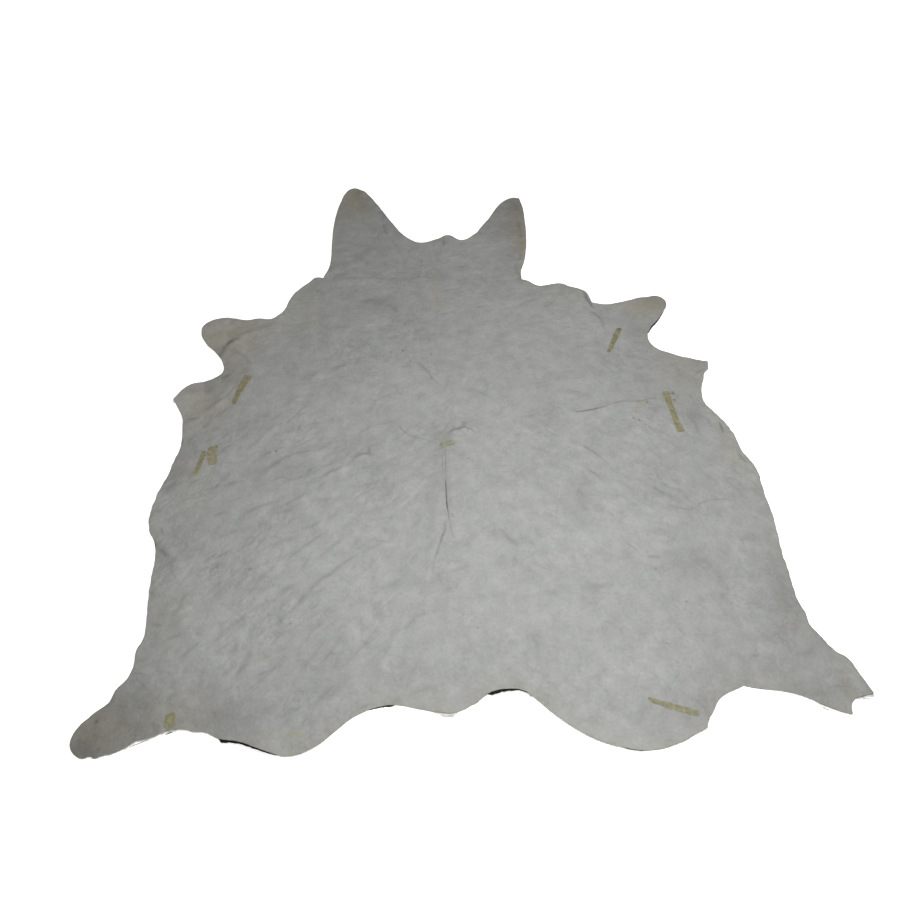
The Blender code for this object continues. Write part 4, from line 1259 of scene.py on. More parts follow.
def spots_at(points):
    """The spots' darkness at the points, and the glue there."""
    dark = np.zeros(len(points))
    glue = np.zeros(len(points))
    ragged = 1 + stray_at(points, STAIN_RIM)
    for stain in STAINS:
        away = np.linalg.norm(points - place(stain), axis=1) / (stain.reach * CM)
        dark = np.maximum(dark, stain.dark * bell(away))
        glue = np.maximum(glue, stain.glue * bell(away * ragged))
    return dark, glue


def rim_shade_at(rim, index, distance):
    """How dark the skin is close to its far edges, where they turn away from the light."""
    far_side = ramp(rim.outward[index, 1], *RIM_PAINTED_SHADE_TURN)
    return RIM_PAINTED_SHADE * far_side * np.exp(-((distance / RIM_PAINTED_SHADE_REACH) ** 2))


def skin_material(colors):
    nodes = Nodes("suede", roughness=0.93, specular=0.12, sheen=0.08)
    mottle = nodes.noise(7.0, 4.0, 0.55)
    cloud = nodes.noise(24.0, 4.0, 0.6)
    fleck = nodes.noise(120.0, 5.0, 0.65)
    nap = nodes.noise(620.0, 3.0, 0.6)
    streaks, puffs = [], []
    for grain, name in zip(GRAINS, ("left_share", "right_share", "front_share")):
        share = nodes.attribute(name)
        streaks.append((nodes.stretched_noise(grain.heading, 15.0, 29.0), share))
        puffs.append((share, grain.puff))
    rough = nodes.spread(nodes.noise(4.5, 2.0, 0.5), 0.4, 0.62, 0.15, 1.0)
    rough = nodes.math("MULTIPLY", rough, nodes.weighted(puffs))
    ridges = nodes.spread(nodes.ridge(nodes.weighted(streaks)), 0.0, 0.1, 0.0, 1.0)
    puff = nodes.math("MULTIPLY", ridges, rough)
    line = nodes.ridge(nodes.noise(11.0, 5.0, 0.6))
    faint = nodes.spread(nodes.noise(9.0, 2.0, 0.5), 0.42, 0.62, 0.0, 1.0)
    vein = nodes.math("MULTIPLY", nodes.spread(line, 0.0, 0.026, 1.0, 0.0), faint)
    speck = nodes.spread(nodes.noise(70.0, 3.0, 0.6), 0.5, 0.7, 0.0, 1.0)
    pebble = nodes.math("MULTIPLY", speck, nodes.attribute("pebble"))
    # The puff weight keeps the colour darker along the fine wrinkles' lines: painted shade in their
    # valleys.
    parts = (
        (mottle, 0.24), (cloud, 0.42), (fleck, 0.4), (puff, 0.09), (vein, -0.08), (pebble, -0.16),
    )
    middle = sum(weight for _, weight in parts) / 2 + 0.06
    swing = nodes.math("SUBTRACT", nodes.weighted(parts), middle - 1)
    shade = nodes.math("MULTIPLY", nodes.attribute("tone"), swing)
    warm = nodes.math("ADD", nodes.attribute("warmth"), nodes.spread(cloud, 0.3, 0.58, 0.1, 0.0))
    rosy = nodes.spread(nodes.noise(14.0, 3.0, 0.55), 0.4, 0.64, 0.1, 0.9)
    plain = nodes.mix(rosy, colors.suede, colors.suede_rosy)
    aged = nodes.mix(warm, plain, colors.suede_warm)
    base = nodes.mix(nodes.attribute("glue"), aged, colors.glue)
    tinted = nodes.scaled(base, shade)
    edged = nodes.mix(nodes.attribute("cut"), tinted, colors.cut)
    # The dark attribute mixes in the crease colour: painted shade in creases, dips and at far rims, and
    # the real stains.
    dark = nodes.attribute("dark")
    broken_stains_and_painted_shade = nodes.math("MULTIPLY", dark, nodes.spread(fleck, 0.3, 0.62, 0.45, 1.1))
    nodes.join(nodes.mix(broken_stains_and_painted_shade, edged, colors.crease), "Base Color")
    nodes.join(nodes.spread(fleck, 0.3, 0.7, 0.86, 0.98), "Roughness")
    heights = ((puff, 1.5), (cloud, 4.2), (fleck, 0.75), (nap, 0.12), (vein, -0.3), (pebble, -0.8))
    nodes.bump(nodes.weighted(heights))
    return nodes.material


def coat_material(colors):
    """Hair that lies along the hide, white and black by an attribute named black."""
    nodes = Nodes("coat", roughness=0.6, specular=0.15, sheen=0.0)
    strands = nodes.stretched_noise(90.0, 40.0, 1500.0)
    clumps = nodes.stretched_noise(90.0, 18.0, 140.0)
    shade = nodes.weighted(((strands, 0.45), (clumps, 0.5)))
    white = nodes.scaled(colors.hair_white, nodes.math("ADD", shade, 0.52))
    black = nodes.scaled(colors.hair_black, nodes.math("ADD", shade, 0.52))
    patch = nodes.math("ADD", nodes.attribute("black"), nodes.spread(clumps, 0.3, 0.7, -0.2, 0.2))
    base = nodes.mix(nodes.spread(patch, 0.45, 0.55, 0.0, 1.0), white, black)
    nodes.join(base, "Base Color")
    nodes.bump(nodes.weighted(((strands, 0.25), (clumps, 0.8))))
    return nodes.material


def lock_material(name, tint):
    """Hair whose locks differ by an attribute named shade."""
    nodes = Nodes(name, roughness=0.6, specular=0.15, sheen=0.0)
    strands = nodes.noise(900.0, 2.0, 0.5)
    shade = nodes.math("MULTIPLY", nodes.attribute("shade"), nodes.spread(strands, 0.3, 0.7, 0.75, 1.2))
    nodes.join(nodes.scaled(tint, shade), "Base Color")
    return nodes.material


def tape_material(colors):
    """Old cloth tape: blotchy, and worn through to the skin here and there, most of all at its rim."""
    nodes = Nodes("tape_cloth", roughness=0.85, specular=0.15, sheen=0.0)
    blotch = nodes.noise(95.0, 4.0, 0.65)
    stain = nodes.noise(34.0, 3.0, 0.6)
    dust = nodes.noise(420.0, 3.0, 0.6)
    weave = nodes.math("MAXIMUM", nodes.wave("X", 190.0), nodes.wave("Y", 190.0))
    shade = nodes.weighted(((blotch, 1.1), (stain, 0.7), (dust, 0.25), (weave, 0.05)))
    rusty = nodes.spread(stain, 0.48, 0.64, 0.0, 0.65)
    cloth = nodes.mix(rusty, colors.tape, colors.tape_rusty)
    faded = nodes.mix(nodes.attribute("faded"), cloth, colors.suede)
    worn = nodes.math("MULTIPLY", nodes.math("SUBTRACT", shade, 0.03), nodes.attribute("tone"))
    toned = nodes.scaled(faded, worn)
    bare = nodes.math("ADD", nodes.attribute("edge"), nodes.spread(blotch, 0.5, 0.7, 0.0, 0.55))
    nodes.join(nodes.mix(bare, toned, colors.suede_warm), "Base Color")
    nodes.bump(nodes.weighted(((weave, 0.05), (blotch, 0.4), (dust, 0.05))))
    return nodes.material


class Nodes:
    """A material whose nodes are added in the order in which they are read."""

    def __init__(self, name, roughness, specular, sheen):
        self.material = bpy.data.materials.new(name)
        self.material.use_nodes = True
        self.tree = self.material.node_tree
        self.shader = self.tree.nodes["Principled BSDF"]
        self.join(roughness, "Roughness")
        self.join(specular, "Specular IOR Level")
        self.join(sheen, "Sheen Weight")
        self.place = self.add("TexCoord").outputs["Object"]

    def link(self, source, socket):
        """Joins an output to an input, or gives the input a plain value."""
        if isinstance(source, bpy.types.NodeSocket):
            self.tree.links.new(source, socket)
        else:
            socket.default_value = source

    def join(self, source, name):
        self.link(source, self.shader.inputs[name])

    def add(self, kind, settings=(), **sources):
        """A new node with its settings, and with a source for each input named."""
        node = self.tree.nodes.new(f"ShaderNode{kind}")
        for name, value in settings:
            setattr(node, name, value)
        for name, source in sources.items():
            self.link(source, node.inputs[name])
        return node

    def attribute(self, name):
        return self.add("Attribute", [("attribute_name", name)]).outputs["Fac"]

    def noise(self, scale, detail, roughness, at=None):
        """Noise with about this many swells to the metre."""
        where = at or self.place
        node = self.add("TexNoise", Scale=scale, Detail=detail, Roughness=roughness, Vector=where)
        return node.outputs["Fac"]

    def stretched_noise(self, heading, along, across):
        """Noise with this many swells to the metre along a heading, and across it."""
        angles = (0.0, 0.0, -radians(heading))
        turned_place = self.add("Mapping", Rotation=angles, Vector=self.place).outputs["Vector"]
        stretch = self.add("Mapping", Scale=(along, across, across), Vector=turned_place)
        return self.noise(1.0, 4.0, 0.55, stretch.outputs["Vector"])

    def ridge(self, source):
        """How far a noise is from its middle value: 0 along lines that wind through it."""
        return self.math("ABSOLUTE", self.math("SUBTRACT", source, 0.5))

    def wave(self, direction, scale):
        settings = [("bands_direction", direction)]
        node = self.add("TexWave", settings, Scale=scale, Distortion=0.6, Vector=self.place)
        return node.outputs["Fac"]

    def math(self, operation, *values):
        node = self.add("Math", [("operation", operation)])
        for value, socket in zip(values, node.inputs):
            self.link(value, socket)
        return node.outputs["Value"]

    def weighted(self, pairs):
        """The sum of the sources, each times its weight."""
        total = 0.0
        for source, weight in pairs:
            total = self.math("MULTIPLY_ADD", source, weight, total)
        return total

    def spread(self, source, low, high, to_low, to_high):
        """The source's span from low to high, stretched from to_low to to_high."""
        node = self.add("MapRange")
        for value, socket in zip((source, low, high, to_low, to_high), node.inputs):
            self.link(value, socket)
        return node.outputs["Result"]

    def mix(self, share, first, second):
        """A share of the second colour in the first."""
        node = self.add("Mix", [("data_type", "RGBA")], Factor=share)
        sockets = [socket for socket in node.inputs if socket.type == "RGBA"]
        for tint, socket in zip((first, second), sockets):
            plain = not isinstance(tint, bpy.types.NodeSocket)
            self.link((*tint, 1.0) if plain else tint, socket)
        return next(socket for socket in node.outputs if socket.type == "RGBA")

    def scaled(self, tint, share):
        """The colour made lighter or darker."""
        node = self.add("VectorMath", [("operation", "SCALE")], Vector=tint, Scale=share)
        return node.outputs["Vector"]

    def bump(self, height):
        """Relief from a height in mm."""
        node = self.add("Bump", Strength=1.0, Distance=MM, Height=height)
        self.join(node.outputs["Normal"], "Normal")


# The cut edge is rounded a little, and its colour starts to show on the skin beside it. The dips
# between the wrinkles get a little painted shade, and the side that isn't seen is warmer.
EDGE_ROUND = 0.0003
EDGE_CUT = 0.1
DIP_PAINTED_SHADE = 0.10
UNDER_WARMTH = 0.3


class LEATHERHIDE_OT_add_skin(Operator):
    """Add the skin: one cut sheet with its folds, creases and wrinkles"""

    bl_idname = "leather_hide.add_skin"
    bl_label = "Add Skin"

    def execute(self, context):
        sizes, colors = context.scene.hide_sizes, context.scene.hide_colors
        rim = Rim()
        lines = grooves(sizes.seed)
        spots, faces = skin_layout(rim, lines, sizes.net).triangles()
        index, distance = rim.nearest(spots)
        depth, dark = creased(spots, lines)
        wrinkle, dips = wrinkle_at(spots, sizes.seed)
        relief = held_up(wrinkle - depth + rim_wrinkle_at(rim, index, distance))
        upper = lift_at(spots) + ripple_at(spots) + sizes.skin + sizes.pile + relief
        hidden, hidden_faces = under_layout(rim).triangles()
        lower = lift_at(hidden) + ripple_at(hidden) + sizes.pile
        edge = np.arange(len(rim.points))
        lower[edge] = upper[edge] - sizes.skin
        upper[edge] -= EDGE_ROUND
        middle = rim.points + rim.outward * EDGE_ROUND
        ring = np.column_stack([middle, (upper[edge] + lower[edge]) / 2])
        top, under = np.column_stack([spots, upper]), np.column_stack([hidden, lower])
        points, faces = closed_sheet(top, faces, under, hidden_faces, ring)
        obj = new_piece("hide_skin", points, faces, skin_material(colors))
        stained, glue = spots_at(spots)
        # Painted shade: at the far rims and in the dips between the wrinkles.
        shaded = rim_shade_at(rim, index, distance) + DIP_PAINTED_SHADE * dips
        left, right, front = shares_at(spots)
        for name, values, unseen in (
            ("tone", tone_at(spots), 1.0),
            ("warmth", warmth_at(spots, distance), UNDER_WARMTH),
            # dark holds the creases' painted shade, the real stains, and the painted shade at rims and
            # dips.
            ("dark", np.max([dark, stained, shaded], axis=0), 0.0),
            ("glue", glue, 0.0),
            ("pebble", pebbles_at(spots), 0.0),
            ("cut", np.where(distance < SAME_POINT, EDGE_CUT, 0.0), 1.0),
            ("left_share", left, 0.0),
            ("right_share", right, 0.0),
            ("front_share", front, 0.0),
        ):
            rest = np.full(len(points) - len(spots), unseen)
            set_attribute(obj, name, np.append(values, rest))
        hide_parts("hide")
        return {"FINISHED"}


# How far outwards hair lies, and how far it reaches past the edge where no fringe is named. A fringe
# is short at its ends.
HAIR_OUTWARD = 0.35
SHORT_FRINGE = 0.0016
FRINGE_ENDS = 12
LEAST_FRINGE = 0.3


def lay_at(points):
    """Which way the hair lies: towards the tail, and outwards."""
    side = np.where(points[:, 0] > 0, 1.0, -1.0)
    return unit(np.stack([side * HAIR_OUTWARD, -np.ones(len(points))], axis=1))


def fringe_reach(rim):
    """How far hair reaches past each point of the edge, and which of it is black."""
    reach = SHORT_FRINGE * rim.facing()
    black = np.zeros(len(rim.points), bool)
    for row in FRINGES:
        stretch = rim.stretch(row)
        t = np.linspace(0, 1, len(stretch))
        full = row.reach + (row.to_reach - row.reach) * t
        reach[stretch] = full * MM * np.clip(np.sin(pi * t) * FRINGE_ENDS, LEAST_FRINGE, 1)
        black[stretch] = row.black
    return reach, black


# A lock's rings: how far along it each lies, how wide it is, and how far down towards the tip.
LOCK_SIDES = 3
LOCK_RINGS = ((0.0, 1.0, 0.0), (0.6, 0.8, 0.35))
LOCK_FLATNESS = 0.35


def lock_points(root, lay, length, start, finish, width):
    """For each lock its two rings of points and its tip."""
    across = left_of(lay)
    points = []
    for share, size, way_down in LOCK_RINGS:
        middle = root + lay * (length * share)[:, None]
        level = start + (finish - start) * way_down
        for side in range(LOCK_SIDES):
            angle = 2 * pi * side / LOCK_SIDES + pi / 2
            aside = across * (width * size * cos(angle) / 2)[:, None]
            rise = width * size * sin(angle) * LOCK_FLATNESS
            points.append(np.column_stack([middle + aside, level + rise]))
    points.append(np.column_stack([root + lay * length[:, None], finish]))
    return np.stack(points, axis=1)


def lock_faces(count):
    """The faces of so many locks: quads between the rings, triangles to the tip, and the root."""
    tip = 2 * LOCK_SIDES
    shape = []
    for side in range(LOCK_SIDES):
        after = (side + 1) % LOCK_SIDES
        shape.append((side, after, LOCK_SIDES + after, LOCK_SIDES + side))
        shape.append((LOCK_SIDES + side, LOCK_SIDES + after, tip))
    shape.append(tuple(reversed(range(LOCK_SIDES))))
    firsts = range(0, count * (tip + 1), tip + 1)
    return [tuple(first + corner for corner in face) for first in firsts for face in shape]


WISP_STEP = 0.004
WISP_HEIGHT = 0.0035
WISP_TIP = 0.15


def tube_points(line, width):
    """The three sides of a flat tube along a line, thin at both ends."""
    taper = WISP_TIP + (1 - WISP_TIP) * np.sin(pi * np.linspace(0, 1, len(line))) ** 0.5
    aside, level = sides_of(line), lift_at(line) + WISP_HEIGHT
    sides = []
    for angle in (pi / 2, pi * 7 / 6, pi * 11 / 6):
        corner = line + aside * (width / 2 * cos(angle) * taper)[:, None]
        rise = width / 2 * (0.5 + sin(angle)) * taper
        sides.append(np.column_stack([corner, level + rise]))
    return np.stack(sides)


def tube_faces(rings):
    """The faces of a tube, from its points' numbers side by side."""
    faces = []
    for row, after in zip(rings, np.roll(rings, -1, axis=0)):
        faces += np.stack([row[:-1], row[1:], after[1:], after[:-1]], axis=1).tolist()
    return faces + [rings[:, 0].tolist(), rings[::-1, -1].tolist()]


# How ragged a black patch of the coat is, and how far out it fades.
PATCH_RIM = Stray(0.08, 33.3, 0.3)
PATCH_FADE = 1.5


def blackness_at(points):
    """1 in the black patches of the coat and 0 between them."""
    nearest = np.min([away_from(patch, points) for patch in BLACK_PATCHES], axis=0)
    return np.clip(PATCH_FADE - nearest * (1 + stray_at(points, PATCH_RIM)), 0, 1)


# The coat stands inside the skin's edge, reaches a little into the skin there, and stays below it
# further in, so that neither shows through the other.
COAT_INSET = 0.0025
COAT_INTO_SKIN = 0.0002
COAT_BELOW_SKIN = 0.001
COAT_BELOW_FROM = 0.03
COAT_TUFTS = Stray(0.03, 71.9, 0.0007)

# The bank that the coat makes at its rim: how far it leans out, and where it is widest.
COAT_RIM = Stray(0.006, 15.2, 0.3)
BANK_REACH = 0.0004
BANK_SHARE = 0.7
BLACK_BANK_SHARE = 0.8
BANK_MIDDLE = 0.75
BANK_HEIGHT = 0.55

# The locks that poke out under the rim: how close, how long, how wide and how shaggy they are. Their
# roots and tips are shares of the height below them, and long ones stand two by two.
LOCK_STEP = 0.0012
LOCK_INSET = 0.006
LOCK_OUTWARD = 0.9
LOCK_SPREAD = 0.22
LOCK_SCATTER = 0.0004
LOCK_LENGTHS = (0.45, 1.2)
LOCK_ROOTS = (0.25, 0.98)
LOCK_TIPS = (0.1, 0.6)
LOCK_WIDTH = 0.0011
LOCK_WIDTHS = (0.6, 1.5)
LOCK_SHADES = (0.7, 1.25)
LEAST_LOCK = 0.0006
LONG_LOCK = 0.004


class LEATHERHIDE_OT_add_hair(Operator):
    """Add the coat under the skin, and the hair that pokes out past its edge"""

    bl_idname = "leather_hide.add_hair"
    bl_label = "Add Hair"

    def execute(self, context):
        sizes, colors = context.scene.hide_sizes, context.scene.hide_colors
        self.add_coat(sizes, colors)
        rim = Rim(step=LOCK_STEP)
        reach, black = fringe_reach(rim)
        for name, chosen, tint in (
            ("white", ~black, colors.hair_white),
            ("black", black, colors.hair_black),
        ):
            obj = self.add_locks(name, rim, reach, chosen, tint, sizes)
        self.add_wisps(colors)
        return {"FINISHED"}

    def add_coat(self, sizes, colors):
        """The pressed hair: a thin bank from the skin down to the surface."""
        rim = Rim(inset=COAT_INSET)
        spots, side = under_layout(rim).triangles()
        lift = lift_at(spots)
        _, distance = rim.nearest(spots)
        upper = lift + sizes.pile + ripple_at(spots) + COAT_INTO_SKIN
        upper -= COAT_BELOW_SKIN * ramp(distance, 0.0, COAT_BELOW_FROM)
        lower = np.column_stack([spots, lift + abs(stray_at(spots, COAT_TUFTS))])
        edge = np.arange(len(rim.points))
        facing = rim.facing()
        reach, black = fringe_reach(rim)
        share = np.where(black, BLACK_BANK_SHARE, BANK_SHARE)
        bank = COAT_INSET + facing * BANK_REACH + share * reach
        lean = bank * (1 + stray_at(rim.points, COAT_RIM)) * facing
        outer = rim.points + lay_at(rim.points) * lean[:, None]
        lower[edge, :2] = outer
        middle = rim.points * (1 - BANK_MIDDLE) + outer * BANK_MIDDLE
        height = lift[edge] + BANK_HEIGHT * (upper[edge] - lift[edge])
        ring = np.column_stack([middle, height])
        points, faces = closed_sheet(np.column_stack([spots, upper]), side, lower, side, ring)
        obj = new_piece("hair_coat", points, faces, coat_material(colors))
        patches = blackness_at(spots)
        patches[edge] = black
        set_attribute(obj, "black", np.concatenate([patches, patches, patches[edge]]))

    def add_locks(self, name, rim, reach, chosen, tint, sizes):
        """Tapered locks that start under the rim, two for each point where they are long."""
        random = np.random.default_rng(sizes.seed + len(name))
        chosen = np.flatnonzero(chosen & (reach > LEAST_LOCK))
        chosen = np.repeat(chosen, 1 + (reach[chosen] > LONG_LOCK))
        count = len(chosen)
        edge = rim.points[chosen]
        lay = unit(lay_at(edge) + rim.outward[chosen] * LOCK_OUTWARD)
        lay = unit(lay + random.normal(0, LOCK_SPREAD, (count, 2)))
        root = edge - lay * LOCK_INSET + random.normal(0, LOCK_SCATTER, (count, 2))
        length = LOCK_INSET + reach[chosen] * random.uniform(*LOCK_LENGTHS, count)
        lift = lift_at(edge)
        top = lift + sizes.pile + ripple_at(edge)
        start = lift + (top - lift) * random.uniform(*LOCK_ROOTS, count)
        finish = lift + (start - lift) * random.uniform(*LOCK_TIPS, count)
        width = LOCK_WIDTH * random.uniform(*LOCK_WIDTHS, count)
        points = lock_points(root, lay, length, start, finish, width)
        faces = lock_faces(count)
        material = lock_material(f"hair_{name}", tint)
        obj = new_piece(f"hair_fringe_{name}", points.reshape(-1, 3), faces, material)
        shades = random.uniform(*LOCK_SHADES, count)
        set_attribute(obj, "shade", np.repeat(shades, points.shape[1]))
        return obj

    def add_wisps(self, colors):
        """Strands that lie along the rim: dark hair, and painted shadow under the white fringe."""
        points, faces = np.empty((0, 3)), []
        for wisp in WISPS:
            line = spaced(bezier_line(wisp.marks), WISP_STEP)
            tube = tube_points(line, wisp.width * MM)
            faces += tube_faces(len(points) + np.arange(3 * len(line)).reshape(3, -1))
            points = np.vstack([points, *tube])
        obj = new_piece("hair_wisps_and_painted_shadow", points, faces, lock_material("hair_wisps_and_painted_shadow", colors.hair_black))
        set_attribute(obj, "shade", np.ones(len(points)))
        return obj


# A strip of tape: the net of its points, how much narrower its ends are, and from where to its rim
# it is torn and frayed, as shares of the way.
TAPE_STEP = 0.0022
TAPE_ROWS = 6
TAPE_COLUMNS = 5
TAPE_ROUND = 0.35
TAPE_ROUND_REACH = 0.006
TAPE_STRAYS = (Stray(0.006, 91.1, 0.0028), Stray(0.02, 23.7, 0.0022))
TAPE_TORN_FROM = 0.85
TAPE_FRAYED_FROM = 0.3
TAPE_FRAYED = 0.8


def strip_points(tape):
    """A grid of points over a strip of tape, whose edges and torn ends stray a little."""
    start, end = ends_of(tape)
    run = end - start
    length = np.linalg.norm(run)
    ahead, aside = run / length, left_of(run / length)
    rows = max(TAPE_ROWS, round(length / TAPE_STEP)) + 1
    columns = max(TAPE_COLUMNS, round(max(tape.width, tape.to_width) * CM / TAPE_STEP)) + 1
    t = np.linspace(0, 1, rows)[:, None, None]
    s = np.linspace(-0.5, 0.5, columns)[None, :, None]
    middle = start + run * t + aside * tape.bow * CM * 4 * t * (1 - t)
    width = (tape.width + (tape.to_width - tape.width) * t) * (1 - tape.waist * np.sin(pi * t))
    near_end = ramp(abs(t - 0.5) * length, length / 2 - TAPE_ROUND_REACH, length / 2)
    width = width * (1 - TAPE_ROUND * near_end**2)
    flat = middle + aside * width * CM * s
    stray = sum(stray_at(flat.reshape(-1, 2), stray) for stray in TAPE_STRAYS)
    stray = stray.reshape(rows, columns, 1)
    torn = ramp(abs(t - 0.5) * 2, TAPE_TORN_FROM, 1.0) * np.sign(t - 0.5) * stray
    frayed = ramp(abs(s) * 2, TAPE_FRAYED_FROM, 1.0) * np.sign(s) * stray * TAPE_FRAYED
    return flat + ahead * torn + aside * frayed


# How high a tape lies over the skin, how it puckers, how thin its rim is, and how worn.
TAPE_GAP = 0.0004
TAPE_PUCKER = Stray(0.009, 55.5, 0.00012)
TAPE_RIM = 0.45
TAPE_RIM_BARE = 0.5


class LEATHERHIDE_OT_add_tapes(Operator):
    """Add the strips of repair tape, pressed onto the skin"""

    bl_idname = "leather_hide.add_tapes"
    bl_label = "Add Tapes"

    def execute(self, context):
        sizes, colors = context.scene.hide_sizes, context.scene.hide_colors
        skin = bpy.data.objects["hide_skin"]
        tree = BVHTree.FromObject(skin, context.evaluated_depsgraph_get())
        material = tape_material(colors)
        for tape in TAPES:
            self.add_tape(tape, tree, sizes.tape, material)
        return {"FINISHED"}

    def add_tape(self, tape, tree, thickness, material):
        flat = strip_points(tape)
        rows, columns, _ = flat.shape
        flat = flat.reshape(-1, 2)
        ground = np.array([self.height_at(tree, point) for point in flat])
        at = np.arange(rows * columns).reshape(rows, columns)
        border = np.zeros((rows, columns), bool)
        border[[0, -1], :] = True
        border[:, [0, -1]] = True
        border = border.ravel()
        pucker = stray_at(flat, TAPE_PUCKER)
        thick = np.where(border, thickness * TAPE_RIM, thickness + pucker)
        lower = np.column_stack([flat, ground + TAPE_GAP])
        upper = np.column_stack([flat, ground + TAPE_GAP + thick])
        quads = np.stack([at[:-1, :-1], at[1:, :-1], at[1:, 1:], at[:-1, 1:]], axis=-1)
        quads = quads.reshape(-1, 4)
        ring = np.concatenate([at[:, 0], at[-1, 1:], at[-2::-1, -1], at[0, -2:0:-1]])[::-1]
        below = rows * columns
        sides = side_faces(ring, ring + below)
        faces = quads.tolist() + (quads[:, ::-1] + below).tolist() + sides
        obj = new_piece(f"tape_strip_{tape.name}", np.vstack([upper, lower]), faces, material)
        set_attribute(obj, "edge", np.tile(np.where(border, TAPE_RIM_BARE, 0.0), 2))
        set_attribute(obj, "tone", np.full(2 * below, tape.tone))
        set_attribute(obj, "faded", np.full(2 * below, tape.faded))
        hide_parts(f"tape_{tape.name}")

    @staticmethod
    def height_at(tree, point):
        hit, *_ = tree.ray_cast(Vector((*point, 1.0)), Vector((0.0, 0.0, -1.0)))
        if hit is None:
            raise RuntimeError("a strip of tape reaches past the skin")
        return hit.z


class LEATHERHIDE_OT_declare_sheet(Operator):
    """A step that does nothing, for a hide that is one sheet lying on its hair, with its tapes"""

    bl_idname = "leather_hide.declare_sheet"
    bl_label = "Declare Sheet"

    def execute(self, context):
        return {"FINISHED"}


# The camera: where it stands, how far it looks down and turns, and its picture's angle.
CAMERA_AT = (-0.0484, -1.5783, 2.072)
CAMERA_DOWN = 56.0
CAMERA_TURN = -1.1
CAMERA_ROLL = -2.1
CAMERA_ANGLE = 60.0
SENSOR = 36.0

# The floor lies just under the hide. The light from all round changes from the horizon upwards.
LAMP_AT = (0.216, -0.608, 1.534)
FLOOR_HALF = 30.0
FLOOR_DROP = 0.0002
FLOOR_COLOR = (0.9, 0.9, 0.9, 1.0)
WHITE = (1.0, 1.0, 1.0, 1.0)
SKY_FADE = (0.12, 0.5)


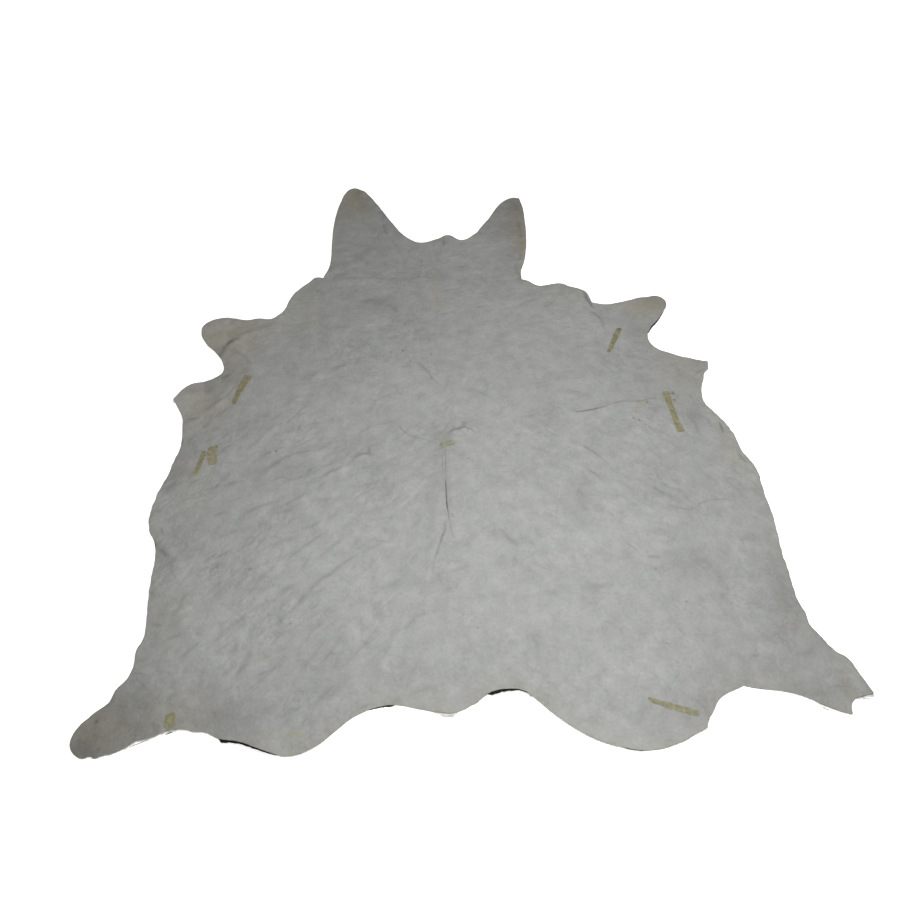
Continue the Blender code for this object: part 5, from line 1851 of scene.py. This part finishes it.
class LEATHERHIDE_OT_add_studio(Operator):
    """Add the pale floor, the soft light and the camera"""

    bl_idname = "leather_hide.add_studio"
    bl_label = "Add Studio"

    def execute(self, context):
        studio = context.scene.hide_studio
        self.add_floor(context.scene, studio)
        self.add_lamp(context.scene, studio)
        self.set_world(context.scene, studio)
        self.add_camera(context.scene)
        context.scene.view_settings.view_transform = "Standard"
        return {"FINISHED"}

    def add_floor(self, scene, studio):
        data = bpy.data.meshes.new("floor")
        half = FLOOR_HALF
        corners = ((-half, -half, 0.0), (half, -half, 0.0), (half, half, 0.0), (-half, half, 0.0))
        data.from_pydata(corners, [], [(0, 1, 2, 3)])
        material = bpy.data.materials.new("pale_floor")
        material.use_nodes = True
        inputs = material.node_tree.nodes["Principled BSDF"].inputs
        inputs["Base Color"].default_value = FLOOR_COLOR
        inputs["Roughness"].default_value = 1.0
        inputs["Specular IOR Level"].default_value = 0.0
        inputs["Emission Color"].default_value = WHITE
        inputs["Emission Strength"].default_value = studio.floor_glow
        data.materials.append(material)
        floor = bpy.data.objects.new("floor", data)
        floor.location.z = -FLOOR_DROP
        scene.collection.objects.link(floor)

    def add_lamp(self, scene, studio):
        light = bpy.data.lights.new("lamp", "POINT")
        light.energy = studio.lamp
        light.shadow_soft_size = studio.lamp_radius
        lamp = bpy.data.objects.new("lamp", light)
        lamp.location = LAMP_AT
        lamp.visible_camera = False
        scene.collection.objects.link(lamp)

    def set_world(self, scene, studio):
        world = bpy.data.worlds.new("studio")
        world.use_nodes = True
        tree = world.node_tree
        place = tree.nodes.new("ShaderNodeTexCoord")
        split = tree.nodes.new("ShaderNodeSeparateXYZ")
        tree.links.new(place.outputs["Generated"], split.inputs["Vector"])
        fade = tree.nodes.new("ShaderNodeMapRange")
        fade.interpolation_type = "SMOOTHSTEP"
        for name, value in (
            ("From Min", SKY_FADE[0]),
            ("From Max", SKY_FADE[1]),
            ("To Min", studio.horizon),
            ("To Max", studio.sky),
        ):
            fade.inputs[name].default_value = value
        tree.links.new(split.outputs["Z"], fade.inputs["Value"])
        tree.nodes["Background"].inputs["Color"].default_value = WHITE
        tree.links.new(fade.outputs["Result"], tree.nodes["Background"].inputs["Strength"])
        scene.world = world

    def add_camera(self, scene):
        down, turn, roll = radians(CAMERA_DOWN), radians(CAMERA_TURN), radians(CAMERA_ROLL)
        ahead = Vector((-sin(turn) * cos(down), cos(turn) * cos(down), -sin(down)))
        above = Vector((-sin(turn) * sin(down), cos(turn) * sin(down), cos(down)))
        level = Vector((cos(turn), sin(turn), 0.0))
        right = level * cos(roll) + above * sin(roll)
        up = above * cos(roll) - level * sin(roll)
        data = bpy.data.cameras.new("camera")
        data.sensor_width = SENSOR
        data.lens = SENSOR / 2 / tan(radians(CAMERA_ANGLE / 2))
        camera = bpy.data.objects.new("camera", data)
        axes = Matrix((right, up, -ahead)).transposed()
        camera.matrix_world = Matrix.Translation(CAMERA_AT) @ axes.to_4x4()
        scene.collection.objects.link(camera)
        scene.camera = camera


class LEATHERHIDE_PT_hide(Panel):
    """The hide's steps, in order, and what can be changed"""

    bl_idname = "LEATHERHIDE_PT_hide"
    bl_label = "Leather Hide"
    bl_space_type = "VIEW_3D"
    bl_region_type = "UI"
    bl_category = "Hide"

    def draw(self, context):
        scene = context.scene
        for group in (scene.hide_sizes, scene.hide_colors, scene.hide_studio):
            column = self.layout.column()
            for name in group.__annotations__:
                column.prop(group, name)
        for operator in OPERATORS:
            self.layout.operator(operator.bl_idname)


OPERATORS = (
    LEATHERHIDE_OT_add_skin,
    LEATHERHIDE_OT_add_hair,
    LEATHERHIDE_OT_add_tapes,
    LEATHERHIDE_OT_declare_sheet,
    LEATHERHIDE_OT_add_studio,
)
GROUPS = (("hide_sizes", HideSizes), ("hide_colors", HideColors), ("hide_studio", HideStudio))


def register():
    for name, group in GROUPS:
        bpy.utils.register_class(group)
        setattr(bpy.types.Scene, name, PointerProperty(type=group))
    for item in (*OPERATORS, LEATHERHIDE_PT_hide):
        bpy.utils.register_class(item)


def unregister():
    for item in reversed((*OPERATORS, LEATHERHIDE_PT_hide)):
        bpy.utils.unregister_class(item)
    for name, group in reversed(GROUPS):
        delattr(bpy.types.Scene, name)
        bpy.utils.unregister_class(group)


def main():
    register()
    bpy.ops.leather_hide.add_skin()
    bpy.ops.leather_hide.add_hair()
    bpy.ops.leather_hide.add_tapes()
    bpy.ops.leather_hide.declare_sheet()
    bpy.ops.leather_hide.add_studio()


if __name__ == "__main__":
    main()
